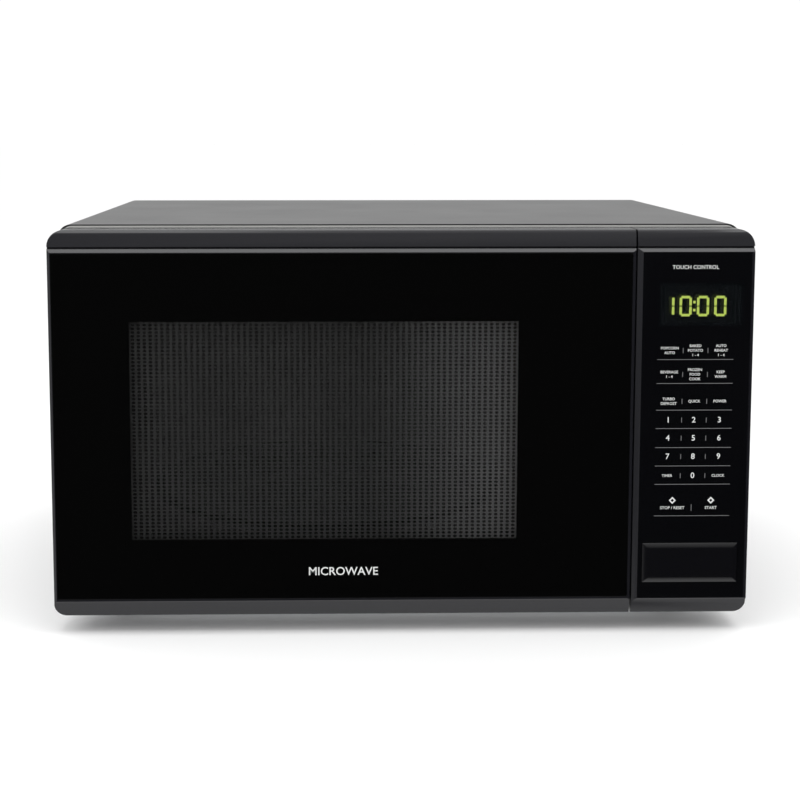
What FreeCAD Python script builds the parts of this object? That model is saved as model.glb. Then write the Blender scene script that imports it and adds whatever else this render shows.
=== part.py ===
"""Countertop microwave oven: a parametric assembly of separate sub-parts.

X runs to the viewer's right, Y to the rear and Z up, in millimetres. The origin is
on the floor, under the middle of the bounding box. Every driving size is a cell of
the spreadsheet "dims", and every feature and placement is bound to it.
"""
import FreeCAD, Part
import math
import os
import Sketcher

doc = FreeCAD.newDocument("microwave_oven")
dims = doc.addObject("Spreadsheet::Sheet", "dims")

DIMENSIONS = [
    ("overall_width", 525, "across the front"),
    ("overall_depth", 401, "release button face to wall spacers"),
    ("overall_height", 310, "feet to top of cover"),
    ("panel_width", 87.4, "control panel, left to right"),
    ("split_gap", 1.2, "gap between door and control panel"),
    ("foot_height", 15, "rubber foot, also the height of the chassis"),
    ("foot_radius", 11, "rubber foot where it meets the base"),
    ("front_drop", 2, "cover top above door top, and cover side inside door side"),
    ("front_depth", 34, "door, from face to back"),
    ("seal_gap", 1.5, "door back to front plate"),
    ("corner_top", 12, "upper corner radius of door and panel"),
    ("corner_bottom", 9, "lower corner radius of door and panel"),
    ("moulding", 2.4, "wall of door frame and panel frame"),
    ("front_glass", 3, "door front panel thickness"),
    ("overlay", 1, "keypad overlay thickness"),
    ("cover_sheet", 0.7, "outer cover steel"),
    ("cover_bend", 10, "outside bend radius of the cover"),
    ("cover_lap", 10, "rear return of the cover over the rear panel"),
    ("chassis_sheet", 1, "front plate, base plate and rear panel steel"),
    ("cavity_sheet", 0.8, "cavity steel"),
    ("spacer_depth", 8.5, "wall spacers behind the cover"),
    ("bay_width", 143.5, "cavity inner side to door side, component bay"),
    ("cavity_inset", 27.5, "door side to cavity inner side, hinge end"),
    ("cavity_floor_height", 40, "cavity floor above the worktop"),
    ("cavity_headroom", 33, "cavity ceiling below the cover top"),
    ("cavity_rear_gap", 9, "cavity back to the outside of the rear flange"),
    ("window_width", 298, "opening in the door pan"),
    ("window_height", 174, "opening in the door pan"),
    ("window_left", 55.5, "door side to that opening"),
    ("window_bottom", 55, "door bottom to that opening"),
    ("screen_sheet", 0.4, "perforated door screen"),
    ("screen_border", 6, "door screen beyond the opening it covers"),
    ("inner_border", 8, "inner window beyond the opening it covers"),
    ("pan_sheet", 0.8, "door pan steel, and the inner window film"),
    ("choke_depth", 2, "choke cover, front to back"),
    ("edge_gap", 0.5, "least gap between a sheet in the door pan and the pan's wall"),
    ("hinge_inset", 8, "door side to hinge axis"),
    ("hinge_setback", 16.5, "door face to hinge axis"),
    ("hinge_end", 12, "door end to the nearer face of the hinge tongue"),
    ("pin_radius", 2.5, "hinge pins"),
    ("running_fit", 0.05, "radial play of every turning fit"),
    ("button_width", 72.4, "release button"),
    ("button_height", 30.5, "release button"),
    ("button_proud", 2, "release button in front of the panel"),
    ("button_bevel", 4.5, "sloping edge of the release button"),
    ("button_travel", 5, "release button stroke"),
    ("button_centre", 39.85, "release button axis above the panel's lower edge"),
    ("board_rise", 41.15, "release button axis to the control board's lower edge"),
    ("board_drop", 18, "cover top to the control board's upper edge"),
    ("lever_arm", 25, "lever pivot above the button axis"),
    ("hook_thickness", 5, "door hooks, left to right"),
    ("tray_margin", 19.5, "cavity side to tray rim"),
    ("tray_glass", 4.2, "turntable glass thickness"),
    ("tray_height", 15, "turntable dish, underside to rim"),
    ("tray_underside", 15, "turntable underside above the cavity floor"),
    ("recess_depth", 3, "round recess in the cavity floor"),
    ("roller_radius", 8.97, "turntable rollers"),
    ("roller_width", 7, "turntable rollers"),
    ("fan_radius", 51, "cooling fan blades"),
    ("fan_to_guide", 73, "front of the fan shroud to the waveguide's middle"),
    ("screw_radius", 1.75, "self-tapping screws"),
]


class Size:
    """A length that knows its formula in the spreadsheet and its present number."""

    def __init__(self, formula, number):
        self.formula, self.number = formula, float(number)

    def __add__(self, other):
        other = sized(other)
        return Size(f"({self.formula} + {other.formula})", self.number + other.number)

    def __sub__(self, other):
        other = sized(other)
        return Size(f"({self.formula} - {other.formula})", self.number - other.number)

    def __mul__(self, other):
        other = sized(other)
        return Size(f"({self.formula} * {other.formula})", self.number * other.number)

    def __truediv__(self, other):
        other = sized(other)
        return Size(f"({self.formula} / {other.formula})", self.number / other.number)

    def __rsub__(self, other):
        return sized(other) - self

    def __neg__(self):
        return Size(f"(0 - {self.formula})", -self.number)

    __radd__, __rmul__ = __add__, __mul__


def sized(value):
    return value if isinstance(value, Size) else Size(f"({float(value)})", value)


def lesser(one, other):
    return Size(f"min({one.formula}; {other.formula})", min(one.number, other.number))


class Driving:
    """Holds one Size per spreadsheet row, under the row's own name."""


d = Driving()
for row, (alias, number, meaning) in enumerate(DIMENSIONS, 1):
    dims.set(f"A{row}", alias)
    dims.set(f"B{row}", str(number))
    dims.set(f"C{row}", meaning)
    dims.setAlias(f"B{row}", alias)
    setattr(d, alias, Size(f"dims.{alias}", number))
doc.recompute()

PIECES = []
X_AXIS, Y_AXIS, Z_AXIS = (FreeCAD.Vector(*unit) for unit in ((1, 0, 0), (0, 1, 0), (0, 0, 1)))
ALONG = {"X": FreeCAD.Rotation(Y_AXIS, 90), "Y": FreeCAD.Rotation(X_AXIS, -90), "Z": FreeCAD.Rotation()}


# ---- helpers: binding and Part primitives ----
def bound(thing, **sizes):
    for name, size in sizes.items():
        setattr(thing, name, sized(size).number)
        thing.setExpression(name, sized(size).formula)
    return thing


def place(thing, x=0, y=0, z=0):
    for axis, size in zip("xyz", (x, y, z)):
        thing.setExpression(f"Placement.Base.{axis}", sized(size).formula)
    return thing


def piece(name, thing, x=0, y=0, z=0):
    """Names a finished sub-part and gives it its place in the assembly."""
    thing.Label = name
    PIECES.append((name, place(thing, x, y, z)))
    return thing


def block(x0, x1, y0, y1, z0, z1):
    thing = bound(doc.addObject("Part::Box", "Block"), Length=sized(x1) - x0, Width=sized(y1) - y0,
                  Height=sized(z1) - z0)
    return place(thing, x0, y0, z0)


def rod(axis, radius, start, end, across=(0, 0)):
    """A cylinder along an axis; across gives the other two coordinates in X, Y, Z order."""
    thing = bound(doc.addObject("Part::Cylinder", "Rod"), Radius=radius, Height=sized(end) - start)
    thing.Placement = FreeCAD.Placement(FreeCAD.Vector(), ALONG[axis])
    spot = list(across)
    spot.insert("XYZ".index(axis), start)
    return place(thing, *spot)


def cone(axis, radius_start, radius_end, start, end, across=(0, 0)):
    thing = bound(doc.addObject("Part::Cone", "Cone"), Radius1=radius_start, Radius2=radius_end,
                  Height=sized(end) - start)
    thing.Placement = FreeCAD.Placement(FreeCAD.Vector(), ALONG[axis])
    spot = list(across)
    spot.insert("XYZ".index(axis), start)
    return place(thing, *spot)


def spoke(radius, inner, outer, height, angle):
    """A cylinder that points outwards from the Z axis at an angle in degrees."""
    thing = bound(doc.addObject("Part::Cylinder", "Spoke"), Radius=radius, Height=sized(outer) - inner)
    turn = FreeCAD.Rotation(Z_AXIS, angle).multiply(ALONG["X"])
    thing.Placement = FreeCAD.Placement(FreeCAD.Vector(), turn)
    way = math.radians(angle)
    return place(thing, sized(inner) * math.cos(way), sized(inner) * math.sin(way), height)


def fused(*things):
    thing = doc.addObject("Part::MultiFuse", "Fused")
    thing.Shapes = things
    return thing


def gathered(*things):
    thing = doc.addObject("Part::Compound", "Gathered")
    thing.Links = things
    return thing


def cut(base, *tools):
    thing = doc.addObject("Part::Cut", "Cut")
    thing.Base = base
    thing.Tool = tools[0] if len(tools) == 1 else fused(*tools)
    return thing


def coil(radius, wire, height, turns):
    """A helical spring that rises from Z = 0."""
    helix = bound(doc.addObject("Part::Helix", "Helix"), Pitch=sized(height) / turns, Height=height,
                  Radius=radius)
    ring = bound(doc.addObject("Part::Circle", "Wire"), Radius=wire)
    ring.Placement = FreeCAD.Placement(FreeCAD.Vector(), FreeCAD.Rotation(X_AXIS, 90))
    place(ring, radius)
    sweep = doc.addObject("Part::Sweep", "Coil")
    sweep.Sections, sweep.Spine, sweep.Solid, sweep.Frenet = [ring], (helix, ["Edge1"]), True, True
    return sweep


# ---- helpers: bodies and sketches ----
def body_of():
    return doc.addObject("PartDesign::Body", "Body")


def origin_part(body, role):
    return next(feature for feature in body.Origin.OriginFeatures if feature.Role == role)


def sketch_on(body, plane, offset):
    sketch = body.newObject("Sketcher::SketchObject", "Sketch")
    sketch.AttachmentSupport = [(origin_part(body, plane), "")]
    sketch.MapMode = "FlatFace"
    offset = -sized(offset) if plane == "XZ_Plane" else sized(offset)
    sketch.setExpression("AttachmentOffset.Base.z", offset.formula)
    return sketch


def fixed(sketch, kind, element, point, size):
    """Holds one coordinate of a point at a bound distance from the sketch origin."""
    size = sized(size)
    number = sketch.addConstraint(Sketcher.Constraint(kind, -1, 1, element, point, size.number))
    sketch.setExpression(f"Constraints[{number}]", size.formula)


def polygon(sketch, points):
    points = [(sized(a), sized(b)) for a, b in points]
    spots = [FreeCAD.Vector(a.number, b.number, 0) for a, b in points]
    first = sketch.GeometryCount
    for n, spot in enumerate(spots):
        sketch.addGeometry(Part.LineSegment(spot, spots[(n + 1) % len(spots)]), False)
    for n, (a, b) in enumerate(points):
        after = first + (n + 1) % len(points)
        sketch.addConstraint(Sketcher.Constraint("Coincident", first + n, 2, after, 1))
        fixed(sketch, "DistanceX", first + n, 1, a)
        fixed(sketch, "DistanceY", first + n, 1, b)


def rectangle(sketch, a0, a1, b0, b1):
    polygon(sketch, [(a0, b0), (a1, b0), (a1, b1), (a0, b1)])


def circle(sketch, a, b, radius):
    a, b, radius = sized(a), sized(b), sized(radius)
    shape = Part.Circle(FreeCAD.Vector(a.number, b.number, 0), Z_AXIS, radius.number)
    number = sketch.addGeometry(shape, False)
    fixed(sketch, "DistanceX", number, 3, a)
    fixed(sketch, "DistanceY", number, 3, b)
    held = sketch.addConstraint(Sketcher.Constraint("Radius", number, radius.number))
    sketch.setExpression(f"Constraints[{held}]", radius.formula)


def rounded(sketch, a0, a1, b0, b1, radii):
    """A rectangle whose corners, from lower left anticlockwise, are arcs or sharp (None)."""
    a0, a1, b0, b1 = (sized(size) for size in (a0, a1, b0, b1))
    corners = [(a0, b0), (a1, b0), (a1, b1), (a0, b1)]
    ways = [(1, 0), (0, 1), (-1, 0), (0, -1)]
    starts, ends = [], []
    for n, (a, b) in enumerate(corners):
        back, size = ways[n - 1], sized(radii[n] or 0).number
        starts.append(FreeCAD.Vector(a.number + ways[n][0] * size, b.number + ways[n][1] * size, 0))
        ends.append(FreeCAD.Vector(a.number - back[0] * size, b.number - back[1] * size, 0))
    lines = []
    for n in range(4):
        lines.append(sketch.addGeometry(Part.LineSegment(starts[n], ends[(n + 1) % 4]), False))
        level = n % 2 == 0
        sketch.addConstraint(Sketcher.Constraint("Horizontal" if level else "Vertical", lines[n]))
        fixed(sketch, "DistanceY" if level else "DistanceX", lines[n], 1, corners[n][1 if level else 0])
    for n, (a, b) in enumerate(corners):
        before = lines[n - 1]
        if radii[n] is None:
            sketch.addConstraint(Sketcher.Constraint("Coincident", before, 2, lines[n], 1))
            continue
        size = sized(radii[n])
        back, way = ways[n - 1], ways[n]
        centre = FreeCAD.Vector(a.number + (way[0] - back[0]) * size.number,
                                b.number + (way[1] - back[1]) * size.number, 0)
        turn = math.radians(180 + 90 * n)
        arc = Part.ArcOfCircle(Part.Circle(centre, Z_AXIS, size.number), turn, turn + math.pi / 2)
        number = sketch.addGeometry(arc, False)
        sketch.addConstraint(Sketcher.Constraint("Tangent", before, 2, number, 1))
        sketch.addConstraint(Sketcher.Constraint("Tangent", number, 2, lines[n], 1))
        held = sketch.addConstraint(Sketcher.Constraint("Radius", number, size.number))
        sketch.setExpression(f"Constraints[{held}]", size.formula)


def extruded(kind, body, plane, start, end, *outlines):
    """Pads or pockets outlines, each (function, its arguments), from start to end along the normal."""
    at_start = (plane == "XZ_Plane") == (kind == "Pocket")
    sketch = sketch_on(body, plane, start if at_start else end)
    for draw, *sizes in outlines:
        draw(sketch, *sizes)
    feature = body.newObject(f"PartDesign::{kind}", kind)
    feature.Profile = sketch
    return bound(feature, Length=sized(end) - start)


def pad(body, plane, start, end, *outlines):
    return extruded("Pad", body, plane, start, end, *outlines)


def pocket(body, plane, start, end, *outlines):
    return extruded("Pocket", body, plane, start, end, *outlines)


def repeated(body, feature, first, second=None):
    """Repeats a feature along one or two axes, each (axis role, pitch, count)."""
    pattern = body.newObject("PartDesign::LinearPattern", "Repeated")
    pattern.Originals = [feature]
    for tail, (role, pitch, count) in zip(("", "2"), filter(None, (first, second))):
        setattr(pattern, f"Direction{tail}", (origin_part(body, role), [""]))
        setattr(pattern, f"Occurrences{tail}", count)
        bound(pattern, **{f"Length{tail}": sized(pitch) * (count - 1)})
    body.Tip = pattern
    return pattern


def filleted(body, radius, chosen):
    """Rounds the edges of the body's tip for which chosen(edge) is true."""
    doc.recompute()
    base = body.Tip
    names = [f"Edge{n}" for n, edge in enumerate(base.Shape.Edges, 1) if chosen(edge)]
    fillet = body.newObject("PartDesign::Fillet", "Fillet")
    fillet.Base = (base, names)
    return bound(fillet, Radius=radius)


def turned(points):
    """A body of revolution about Z from (radius, height) points."""
    body = body_of()
    sketch = sketch_on(body, "XZ_Plane", 0)
    polygon(sketch, points)
    feature = body.newObject("PartDesign::Revolution", "Revolution")
    feature.Profile = sketch
    feature.ReferenceAxis = (sketch, ["V_Axis"])
    feature.Angle = 360
    return body


def along_y_at(x, z):
    """Picks straight edges that run along Y at one place across it."""
    def chosen(edge):
        ends = [vertex.Point for vertex in edge.Vertexes]
        return (len(ends) == 2 and abs(ends[0].y - ends[1].y) > 1
                and all(abs(end.x - x.number) < 0.01 and abs(end.z - z.number) < 0.01 for end in ends))
    return chosen


def either(*tests):
    return lambda edge: any(test(edge) for test in tests)


# ---- places that many sub-parts share ----
right = d.overall_width / 2
left = -right
face = -d.overall_depth / 2 + d.button_proud
door_back = face + d.front_depth
plate_front = door_back + d.seal_gap
plate_back = plate_front + d.chassis_sheet
wall_side = d.overall_depth / 2
cover_back = wall_side - d.spacer_depth
lap_front = cover_back - d.cover_sheet
rear_front = lap_front - d.chassis_sheet
top = d.overall_height
front_top = top - d.front_drop
front_bottom = d.foot_height
base_top = front_bottom + d.chassis_sheet
cover_side = right - d.front_drop
plate_side = cover_side - d.cover_sheet - 0.4
plate_top = top - d.cover_sheet - 0.3
panel_left = right - d.panel_width
door_right = panel_left - d.split_gap
cavity_left = left + d.cavity_inset
cavity_right = right - d.bay_width
cavity_bottom = d.cavity_floor_height
cavity_top = top - d.cavity_headroom
cavity_back = cover_back - d.cavity_rear_gap
bay = cavity_right + d.cavity_sheet
hinge_x = left + d.hinge_inset
hinge_y = face + d.hinge_setback
upper_tongue = front_top - d.hinge_end - 1
lower_tongue = front_bottom + d.hinge_end
button_x = panel_left + d.panel_width / 2
button_z = front_bottom + d.button_centre
hook_x = door_right - 21.9
hook_low = button_z + d.lever_arm + 10
hook_high = front_top - 73
glass_x0, glass_x1 = left + 2.5, door_right - 2.4
glass_z0, glass_z1 = front_bottom + 13.5, front_top - 17
window_x0 = left + d.window_left
window_x1 = window_x0 + d.window_width
window_z0 = front_bottom + d.window_bottom
window_z1 = window_z0 + d.window_height
table_x = (cavity_left + cavity_right) / 2
table_y = (plate_back + cavity_back) / 2
tray_radius = lesser(cavity_right - cavity_left, cavity_back - plate_back) / 2 - d.tray_margin
track_radius = tray_radius * 0.705
axle_z = cavity_bottom - d.recess_depth + 9
screw_hole = d.screw_radius + d.running_fit
lap_x = cover_side - d.cover_lap / 2
lap_z = top - d.cover_lap / 2
cover_screw_points = [(side * lap_x, height) for side in (-1, 1)
                      for height in (front_bottom + 30, top * 0.5, top - 35)]
cover_screw_points += [(side * right * 0.45, lap_z) for side in (-1, 1)]


# ---- housing: cover, base, rear, feet ----
def hoop(sketch, side, upper, lower, sheet):
    polygon(sketch, [(-side, lower), (-side, upper), (side, upper), (side, lower), (side - sheet, lower),
                     (side - sheet, upper - sheet), (sheet - side, upper - sheet), (sheet - side, lower)])


cover = body_of()
pad(cover, "XZ_Plane", plate_front, cover_back, (hoop, cover_side, top, front_bottom + 2, d.cover_sheet))
pad(cover, "XZ_Plane", lap_front, cover_back, (hoop, cover_side, top, front_bottom + 2, d.cover_lap))
filleted(cover, d.cover_bend, either(along_y_at(cover_side, top), along_y_at(-cover_side, top)))
inner_side, inner_top = cover_side - d.cover_sheet, top - d.cover_sheet
filleted(cover, d.cover_bend - d.cover_sheet,
         either(along_y_at(inner_side, inner_top), along_y_at(-inner_side, inner_top)))
for x0, x1, y0, z0, columns, rows in (
        (cover_side - 2, cover_side + 1, wall_side - 140, front_bottom + 45, 12, 3),
        (-cover_side - 1, 2 - cover_side, wall_side - 120, top - 92, 9, 2)):
    slot = pocket(cover, "YZ_Plane", x0, x1, (rectangle, y0, y0 + 3, z0, z0 + 20))
    repeated(cover, slot, ("Y_Axis", 8, columns), ("Z_Axis", 27, rows))
pocket(cover, "XZ_Plane", lap_front - 1, cover_back + 1,
       *[(circle, x, z, screw_hole) for x, z in cover_screw_points])
piece("outer_cover", cover)

base = body_of()
base_side = cover_side - 1.5
pad(base, "XZ_Plane", plate_back, rear_front,
    (polygon, [(-base_side, front_bottom), (base_side, front_bottom), (base_side, base_top + 9),
               (base_side - 1, base_top + 9), (base_side - 1, base_top), (1 - base_side, base_top),
               (1 - base_side, base_top + 9), (-base_side, base_top + 9)]))
slot = pocket(base, "XY_Plane", front_bottom - 1, base_top + 1,
              (rectangle, cavity_left + 20, cavity_left + 23.5, face + 70, face + 95))
repeated(base, slot, ("X_Axis", 8, 8), ("Y_Axis", 34, 2))
piece("base_plate", base)

rear = body_of()
pad(rear, "XZ_Plane", rear_front, lap_front,
    (rounded, -plate_side, plate_side, base_top, plate_top, (1, 1, d.cover_bend, d.cover_bend)))
gland_x, gland_z = right - 45, front_bottom + 35
fan_x, fan_front, fan_z = right - 72.5, wall_side - 72.5, top - 115
for x0, z0, columns, rows in ((fan_x - 45.5, fan_z - 42, 12, 3), (cavity_left + 40, top - 110, 10, 2)):
    slot = pocket(rear, "XZ_Plane", rear_front - 1, lap_front + 1, (rectangle, x0, x0 + 3, z0, z0 + 24))
    repeated(rear, slot, ("X_Axis", 8, columns), ("Z_Axis", 30, rows))
pocket(rear, "XZ_Plane", rear_front - 1, lap_front + 1, (circle, gland_x, gland_z, 10),
       *[(circle, x, z, screw_hole) for x, z in cover_screw_points])
piece("rear_panel", rear)

foot_x = right - 47.5
foot_spots = [(side * foot_x, spot) for side in (-1, 1) for spot in (face + 58.5, wall_side - 35.5)]
feet = gathered(*[cut(cone("Z", d.foot_radius - 2, d.foot_radius, 0, d.foot_height, spot),
                      rod("Z", 4, -1, d.foot_height - 9, spot)) for spot in foot_spots])
piece("feet", feet)

spacers = gathered(*[cone("Y", 12, 8, lap_front, wall_side, (side * right * 0.57, top - 34))
                     for side in (-1, 1)])
piece("wall_spacers", spacers)

gland = cut(fused(rod("Y", 9.9, -8, 0.5), rod("Y", 14, 0, 2.2), cone("Y", 9, 7, 2.2, 7.5)),
            rod("Y", 4, -9, 9))
piece("cord_gland", gland, gland_x, lap_front, gland_z)

screws = gathered(*[fused(rod("Y", d.screw_radius, cover_back - 6, cover_back + 0.5, spot),
                          cone("Y", 3.6, 2.6, cover_back, cover_back + 2, spot))
                    for spot in cover_screw_points])
piece("cover_screws", screws)

# ---- chassis front and oven cavity ----
stem_x = button_x - 31
front_plate = body_of()
pad(front_plate, "XZ_Plane", plate_front, plate_back,
    (rounded, -plate_side, plate_side, base_top, plate_top, (1, 1, d.cover_bend, d.cover_bend)))
pocket(front_plate, "XZ_Plane", plate_front - 1, plate_back + 1,
       (rectangle, cavity_left, cavity_right, cavity_bottom, cavity_top))
pocket(front_plate, "XZ_Plane", plate_front - 1, plate_back + 1,
       (rounded, panel_left + 7, right - 10, button_z + 45, top - 20, (4, 4, 4, 4)),
       (rectangle, stem_x - 6, stem_x + 5, button_z - 7, button_z + 7),
       *[(rectangle, hook_x - 5, hook_x + 5, height - 10.5, height + 10) for height in (hook_low, hook_high)])
for tongue in (upper_tongue, lower_tongue):
    pocket(front_plate, "XZ_Plane", plate_front - 1, plate_back + 1,
           (rectangle, -plate_side - 1, hinge_x + 4.8, tongue - 1.3, tongue + 1.3))
piece("front_plate", front_plate)

wrapper = body_of()
sheet = d.cavity_sheet
pad(wrapper, "XZ_Plane", plate_back, cavity_back,
    (polygon, [(cavity_left - sheet, cavity_bottom), (cavity_left, cavity_bottom), (cavity_left, cavity_top),
               (cavity_right, cavity_top), (cavity_right, cavity_bottom), (bay, cavity_bottom),
               (bay, cavity_top + sheet), (cavity_left - sheet, cavity_top + sheet)]))
guide_y, guide_z = fan_front - d.fan_to_guide, fan_z
lamp_y, lamp_z = guide_y + 30, top - 48
pocket(wrapper, "YZ_Plane", cavity_right - 1, bay + 1,
       (rectangle, guide_y - 40, guide_y + 40, guide_z - 35, guide_z + 35))
for x0, x1, y, z, columns, rows in ((cavity_right - 1, bay + 1, lamp_y - 13.5, lamp_z - 9, 7, 5),
                                    (cavity_left - 2, cavity_left + 1, lamp_y - 20, top - 75, 10, 4)):
    hole = pocket(wrapper, "YZ_Plane", x0, x1, (circle, y, z, 1.5))
    repeated(wrapper, hole, ("Y_Axis", 4.5, columns), ("Z_Axis", 4.5, rows))
piece("cavity_wrapper", wrapper)

floor = body_of()
recess = track_radius * 1.18
pad(floor, "XY_Plane", cavity_bottom - sheet, cavity_bottom,
    (rectangle, cavity_left - table_x, cavity_right - table_x, plate_back - table_y, cavity_back - table_y))
pad(floor, "XY_Plane", cavity_bottom - d.recess_depth - sheet, cavity_bottom - sheet,
    (circle, 0, 0, recess + sheet))
pocket(floor, "XY_Plane", cavity_bottom - d.recess_depth, cavity_bottom + 1, (circle, 0, 0, recess))
pocket(floor, "XY_Plane", cavity_bottom - 10, cavity_bottom + 1, (circle, 0, 0, 7))
piece("cavity_floor", floor, table_x, table_y)

back = body_of()
pad(back, "XZ_Plane", 0, sheet,
    (rectangle, cavity_left - sheet, bay, cavity_bottom - sheet, cavity_top + sheet))
for z0 in (cavity_bottom + 45, cavity_top - 60):
    pad(back, "XZ_Plane", sheet, sheet + 2,
        (rounded, cavity_left + 30, cavity_right - 30, z0, z0 + 12, (5, 5, 5, 5)))
piece("cavity_back", back, 0, cavity_back)

# ---- turntable: motor, coupler, roller ring and glass tray ----
motor_top = cavity_bottom - d.recess_depth - sheet
motor = cut(fused(rod("Z", 24.5, -15, 0), block(-32, 32, -5, 5, -2, 0), block(-8, 8, 22, 34, -12, -4)),
            rod("Z", 3.5 + d.running_fit, -10, 1))
piece("turntable_motor", motor, table_x, table_y, motor_top)

TURNTABLE_ANGLES = (90, 210, 330)
tray_z = cavity_bottom + d.tray_underside
wings = [block(0, 13, -3, 3, tray_z - 9, tray_z - 0.5) for _ in TURNTABLE_ANGLES]
for wing, angle in zip(wings, TURNTABLE_ANGLES):
    way = math.radians(angle)
    wing.Placement = FreeCAD.Placement(FreeCAD.Vector(), FreeCAD.Rotation(Z_AXIS, angle))
    place(wing, 3 * math.sin(way), -3 * math.cos(way), tray_z - 9)
coupler = fused(rod("Z", 3.5, motor_top - 9, tray_z - 9), rod("Z", 6.2, motor_top + 2, tray_z - 8),
                rod("Z", 7.5, tray_z - 9, tray_z - 0.5), *wings)
piece("drive_coupler", coupler, table_x, table_y)

ring_inner = track_radius - d.roller_width / 2 - 7
ring = fused(cut(rod("Z", ring_inner + 6, -3, 3), rod("Z", ring_inner, -4, 4)),
             *[spoke(1.5, ring_inner + 3, track_radius + 5, 0, angle) for angle in TURNTABLE_ANGLES],
             *[spoke(2.6, track_radius + 4, track_radius + 5.2, 0, angle) for angle in TURNTABLE_ANGLES])
piece("roller_ring", ring, table_x, table_y, axle_z)

for number, angle in enumerate(TURNTABLE_ANGLES, 1):
    near, far = -d.roller_width / 2, d.roller_width / 2
    wheel = cut(spoke(d.roller_radius, near, far, 0, angle),
                spoke(1.5 + d.running_fit, near - 1, far + 1, 0, angle),
                spoke(d.roller_radius - 2.5, far - 1.2, far + 1, 0, angle))
    way = math.radians(angle)
    piece(f"roller_wheel_{number}", wheel, table_x + track_radius * math.cos(way),
          table_y + track_radius * math.sin(way), axle_z)

tray = turned([(0, 0), (tray_radius - 21.5, 0), (tray_radius, d.tray_height - 4),
               (tray_radius, d.tray_height), (tray_radius - 2.4, d.tray_height),
               (tray_radius - 22.5, d.tray_glass), (0, d.tray_glass)])
lug_spots = [(10.5 * math.cos(math.radians(angle + 60)), 10.5 * math.sin(math.radians(angle + 60)))
             for angle in TURNTABLE_ANGLES]
pad(tray, "XY_Plane", -5, 0, *[(circle, x, y, 2.4) for x, y in lug_spots])
piece("glass_tray", tray, table_x, table_y, tray_z)

# ---- component bay: waveguide and magnetron, about the antenna axis ----
guide = cut(block(0, 40, -50, 50, -45, 45),
            block(-1, 40 - sheet, -50 + sheet, 50 - sheet, -45 + sheet, 45 - sheet), rod("X", 12, 30, 41))
piece("waveguide", guide, bay, guide_y, guide_z)

mica = body_of()
pad(mica, "YZ_Plane", -0.6, 0, (rounded, -47, 47, -42, 42, (6, 6, 6, 6)))
piece("waveguide_cover", mica, cavity_right, guide_y, guide_z)

magnetron_x = bay + 40
yoke = cut(fused(block(0, 1.5, -45, 45, -42, 42), block(1.5, 69, -40, 40, 38.5, 40),
                 block(1.5, 69, -40, 40, -40, -38.5), block(67.5, 69, -40, 40, -38.5, 38.5)),
           rod("X", 12, -1, 5), rod("X", 15, 60, 70))
piece("magnetron_yoke", yoke, magnetron_x, guide_y, guide_z)
magnets = gathered(*[cut(rod("X", 27, start, start + 12), rod("X", 12, start - 1, start + 13))
                     for start in (1.5, 55.5)])
piece("magnetron_magnets", magnets, magnetron_x, guide_y, guide_z)
anode = fused(rod("X", 20, 14, 55), rod("X", 9, 55, 78), block(78, 84, -6, -4, -3, 3),
              block(78, 84, 4, 6, -3, 3))
piece("magnetron_anode", anode, magnetron_x, guide_y, guide_z)
antenna = fused(rod("X", 9, -2, 14), cone("X", 6.5, 7.5, -20, -2), rod("X", 4, -22, -20))
piece("magnetron_antenna", antenna, magnetron_x, guide_y, guide_z)
fins = gathered(*[cut(block(start, start + 0.6, -38, 38, -38.5, 38.5), rod("X", 20, start - 1, start + 2))
                  for start in (18, 24.4, 30.8, 37.2, 43.6, 50)])
piece("magnetron_fins", fins, magnetron_x, guide_y, guide_z)
filter_box = fused(cut(block(69, 93, -30, 30, -30, 30), block(68, 92.2, -29.2, 29.2, -29.2, 29.2)),
                   block(76, 90, -40, -30, -12, 12))
piece("magnetron_filter_box", filter_box, magnetron_x, guide_y, guide_z)

# ---- component bay: transformer, capacitor, diode, filter board ----
bay_depth = cover_back - plate_back
transformer_x, transformer_y = right - 64.5, plate_back + 25 + bay_depth * 0.189
core = body_of()
pad(core, "XZ_Plane", -25, 25, (rectangle, -48, 48, 0, 74))
pad(core, "XZ_Plane", -38, 38, (rectangle, -48, 48, 0, 2))
pocket(core, "XZ_Plane", -26, 26, (rectangle, -32, -16, 16, 58), (rectangle, 16, 32, 16, 58))
piece("transformer_core", core, transformer_x, transformer_y, base_top)
windings = body_of()
pad(windings, "XY_Plane", 17, 57, (rounded, -31.5, 31.5, -41, 41, (12, 12, 12, 12)))
pocket(windings, "XY_Plane", 16, 58, (rectangle, -16.2, 16.2, -25.2, 25.2))
pocket(windings, "XY_Plane", 36, 38, (rectangle, -32, -16.2, -25, 25), (rectangle, 16.2, 32, -25, 25))
piece("transformer_windings", windings, transformer_x, transformer_y, base_top)

capacitor_x, capacitor_y = right - 102.5, plate_back + bay_depth * 0.627
can = body_of()
pad(can, "XZ_Plane", -47.5, 47.5, (rounded, -26, 26, 0, 33, (16, 16, 16, 16)))
pad(can, "XZ_Plane", -56, -47.5, (rectangle, -12.5, -11.5, 12, 18), (rectangle, 11.5, 12.5, 12, 18))
piece("capacitor", can, capacitor_x, capacitor_y, base_top)
clamp = body_of()
pad(clamp, "XZ_Plane", -6, 6,
    (polygon, [(-38, 0), (-26, 0), (-26, 33), (26, 33), (26, 0), (38, 0), (38, 1.2), (27.2, 1.2),
               (27.2, 34.2), (-27.2, 34.2), (-27.2, 1.2), (-38, 1.2)]))
piece("capacitor_clamp", clamp, capacitor_x, capacitor_y, base_top)

diode = fused(rod("Y", 3.5, -9, 9, (0, 8)), rod("Y", 0.8, -24, -9, (0, 8)), rod("Y", 0.8, 9, 22, (0, 8)),
              block(-3, 3, 20, 22, 0, 8.8), block(-4, 4, 20, 30, 0, 1))
piece("diode", diode, right - 55, capacitor_y - 5, base_top)

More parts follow.
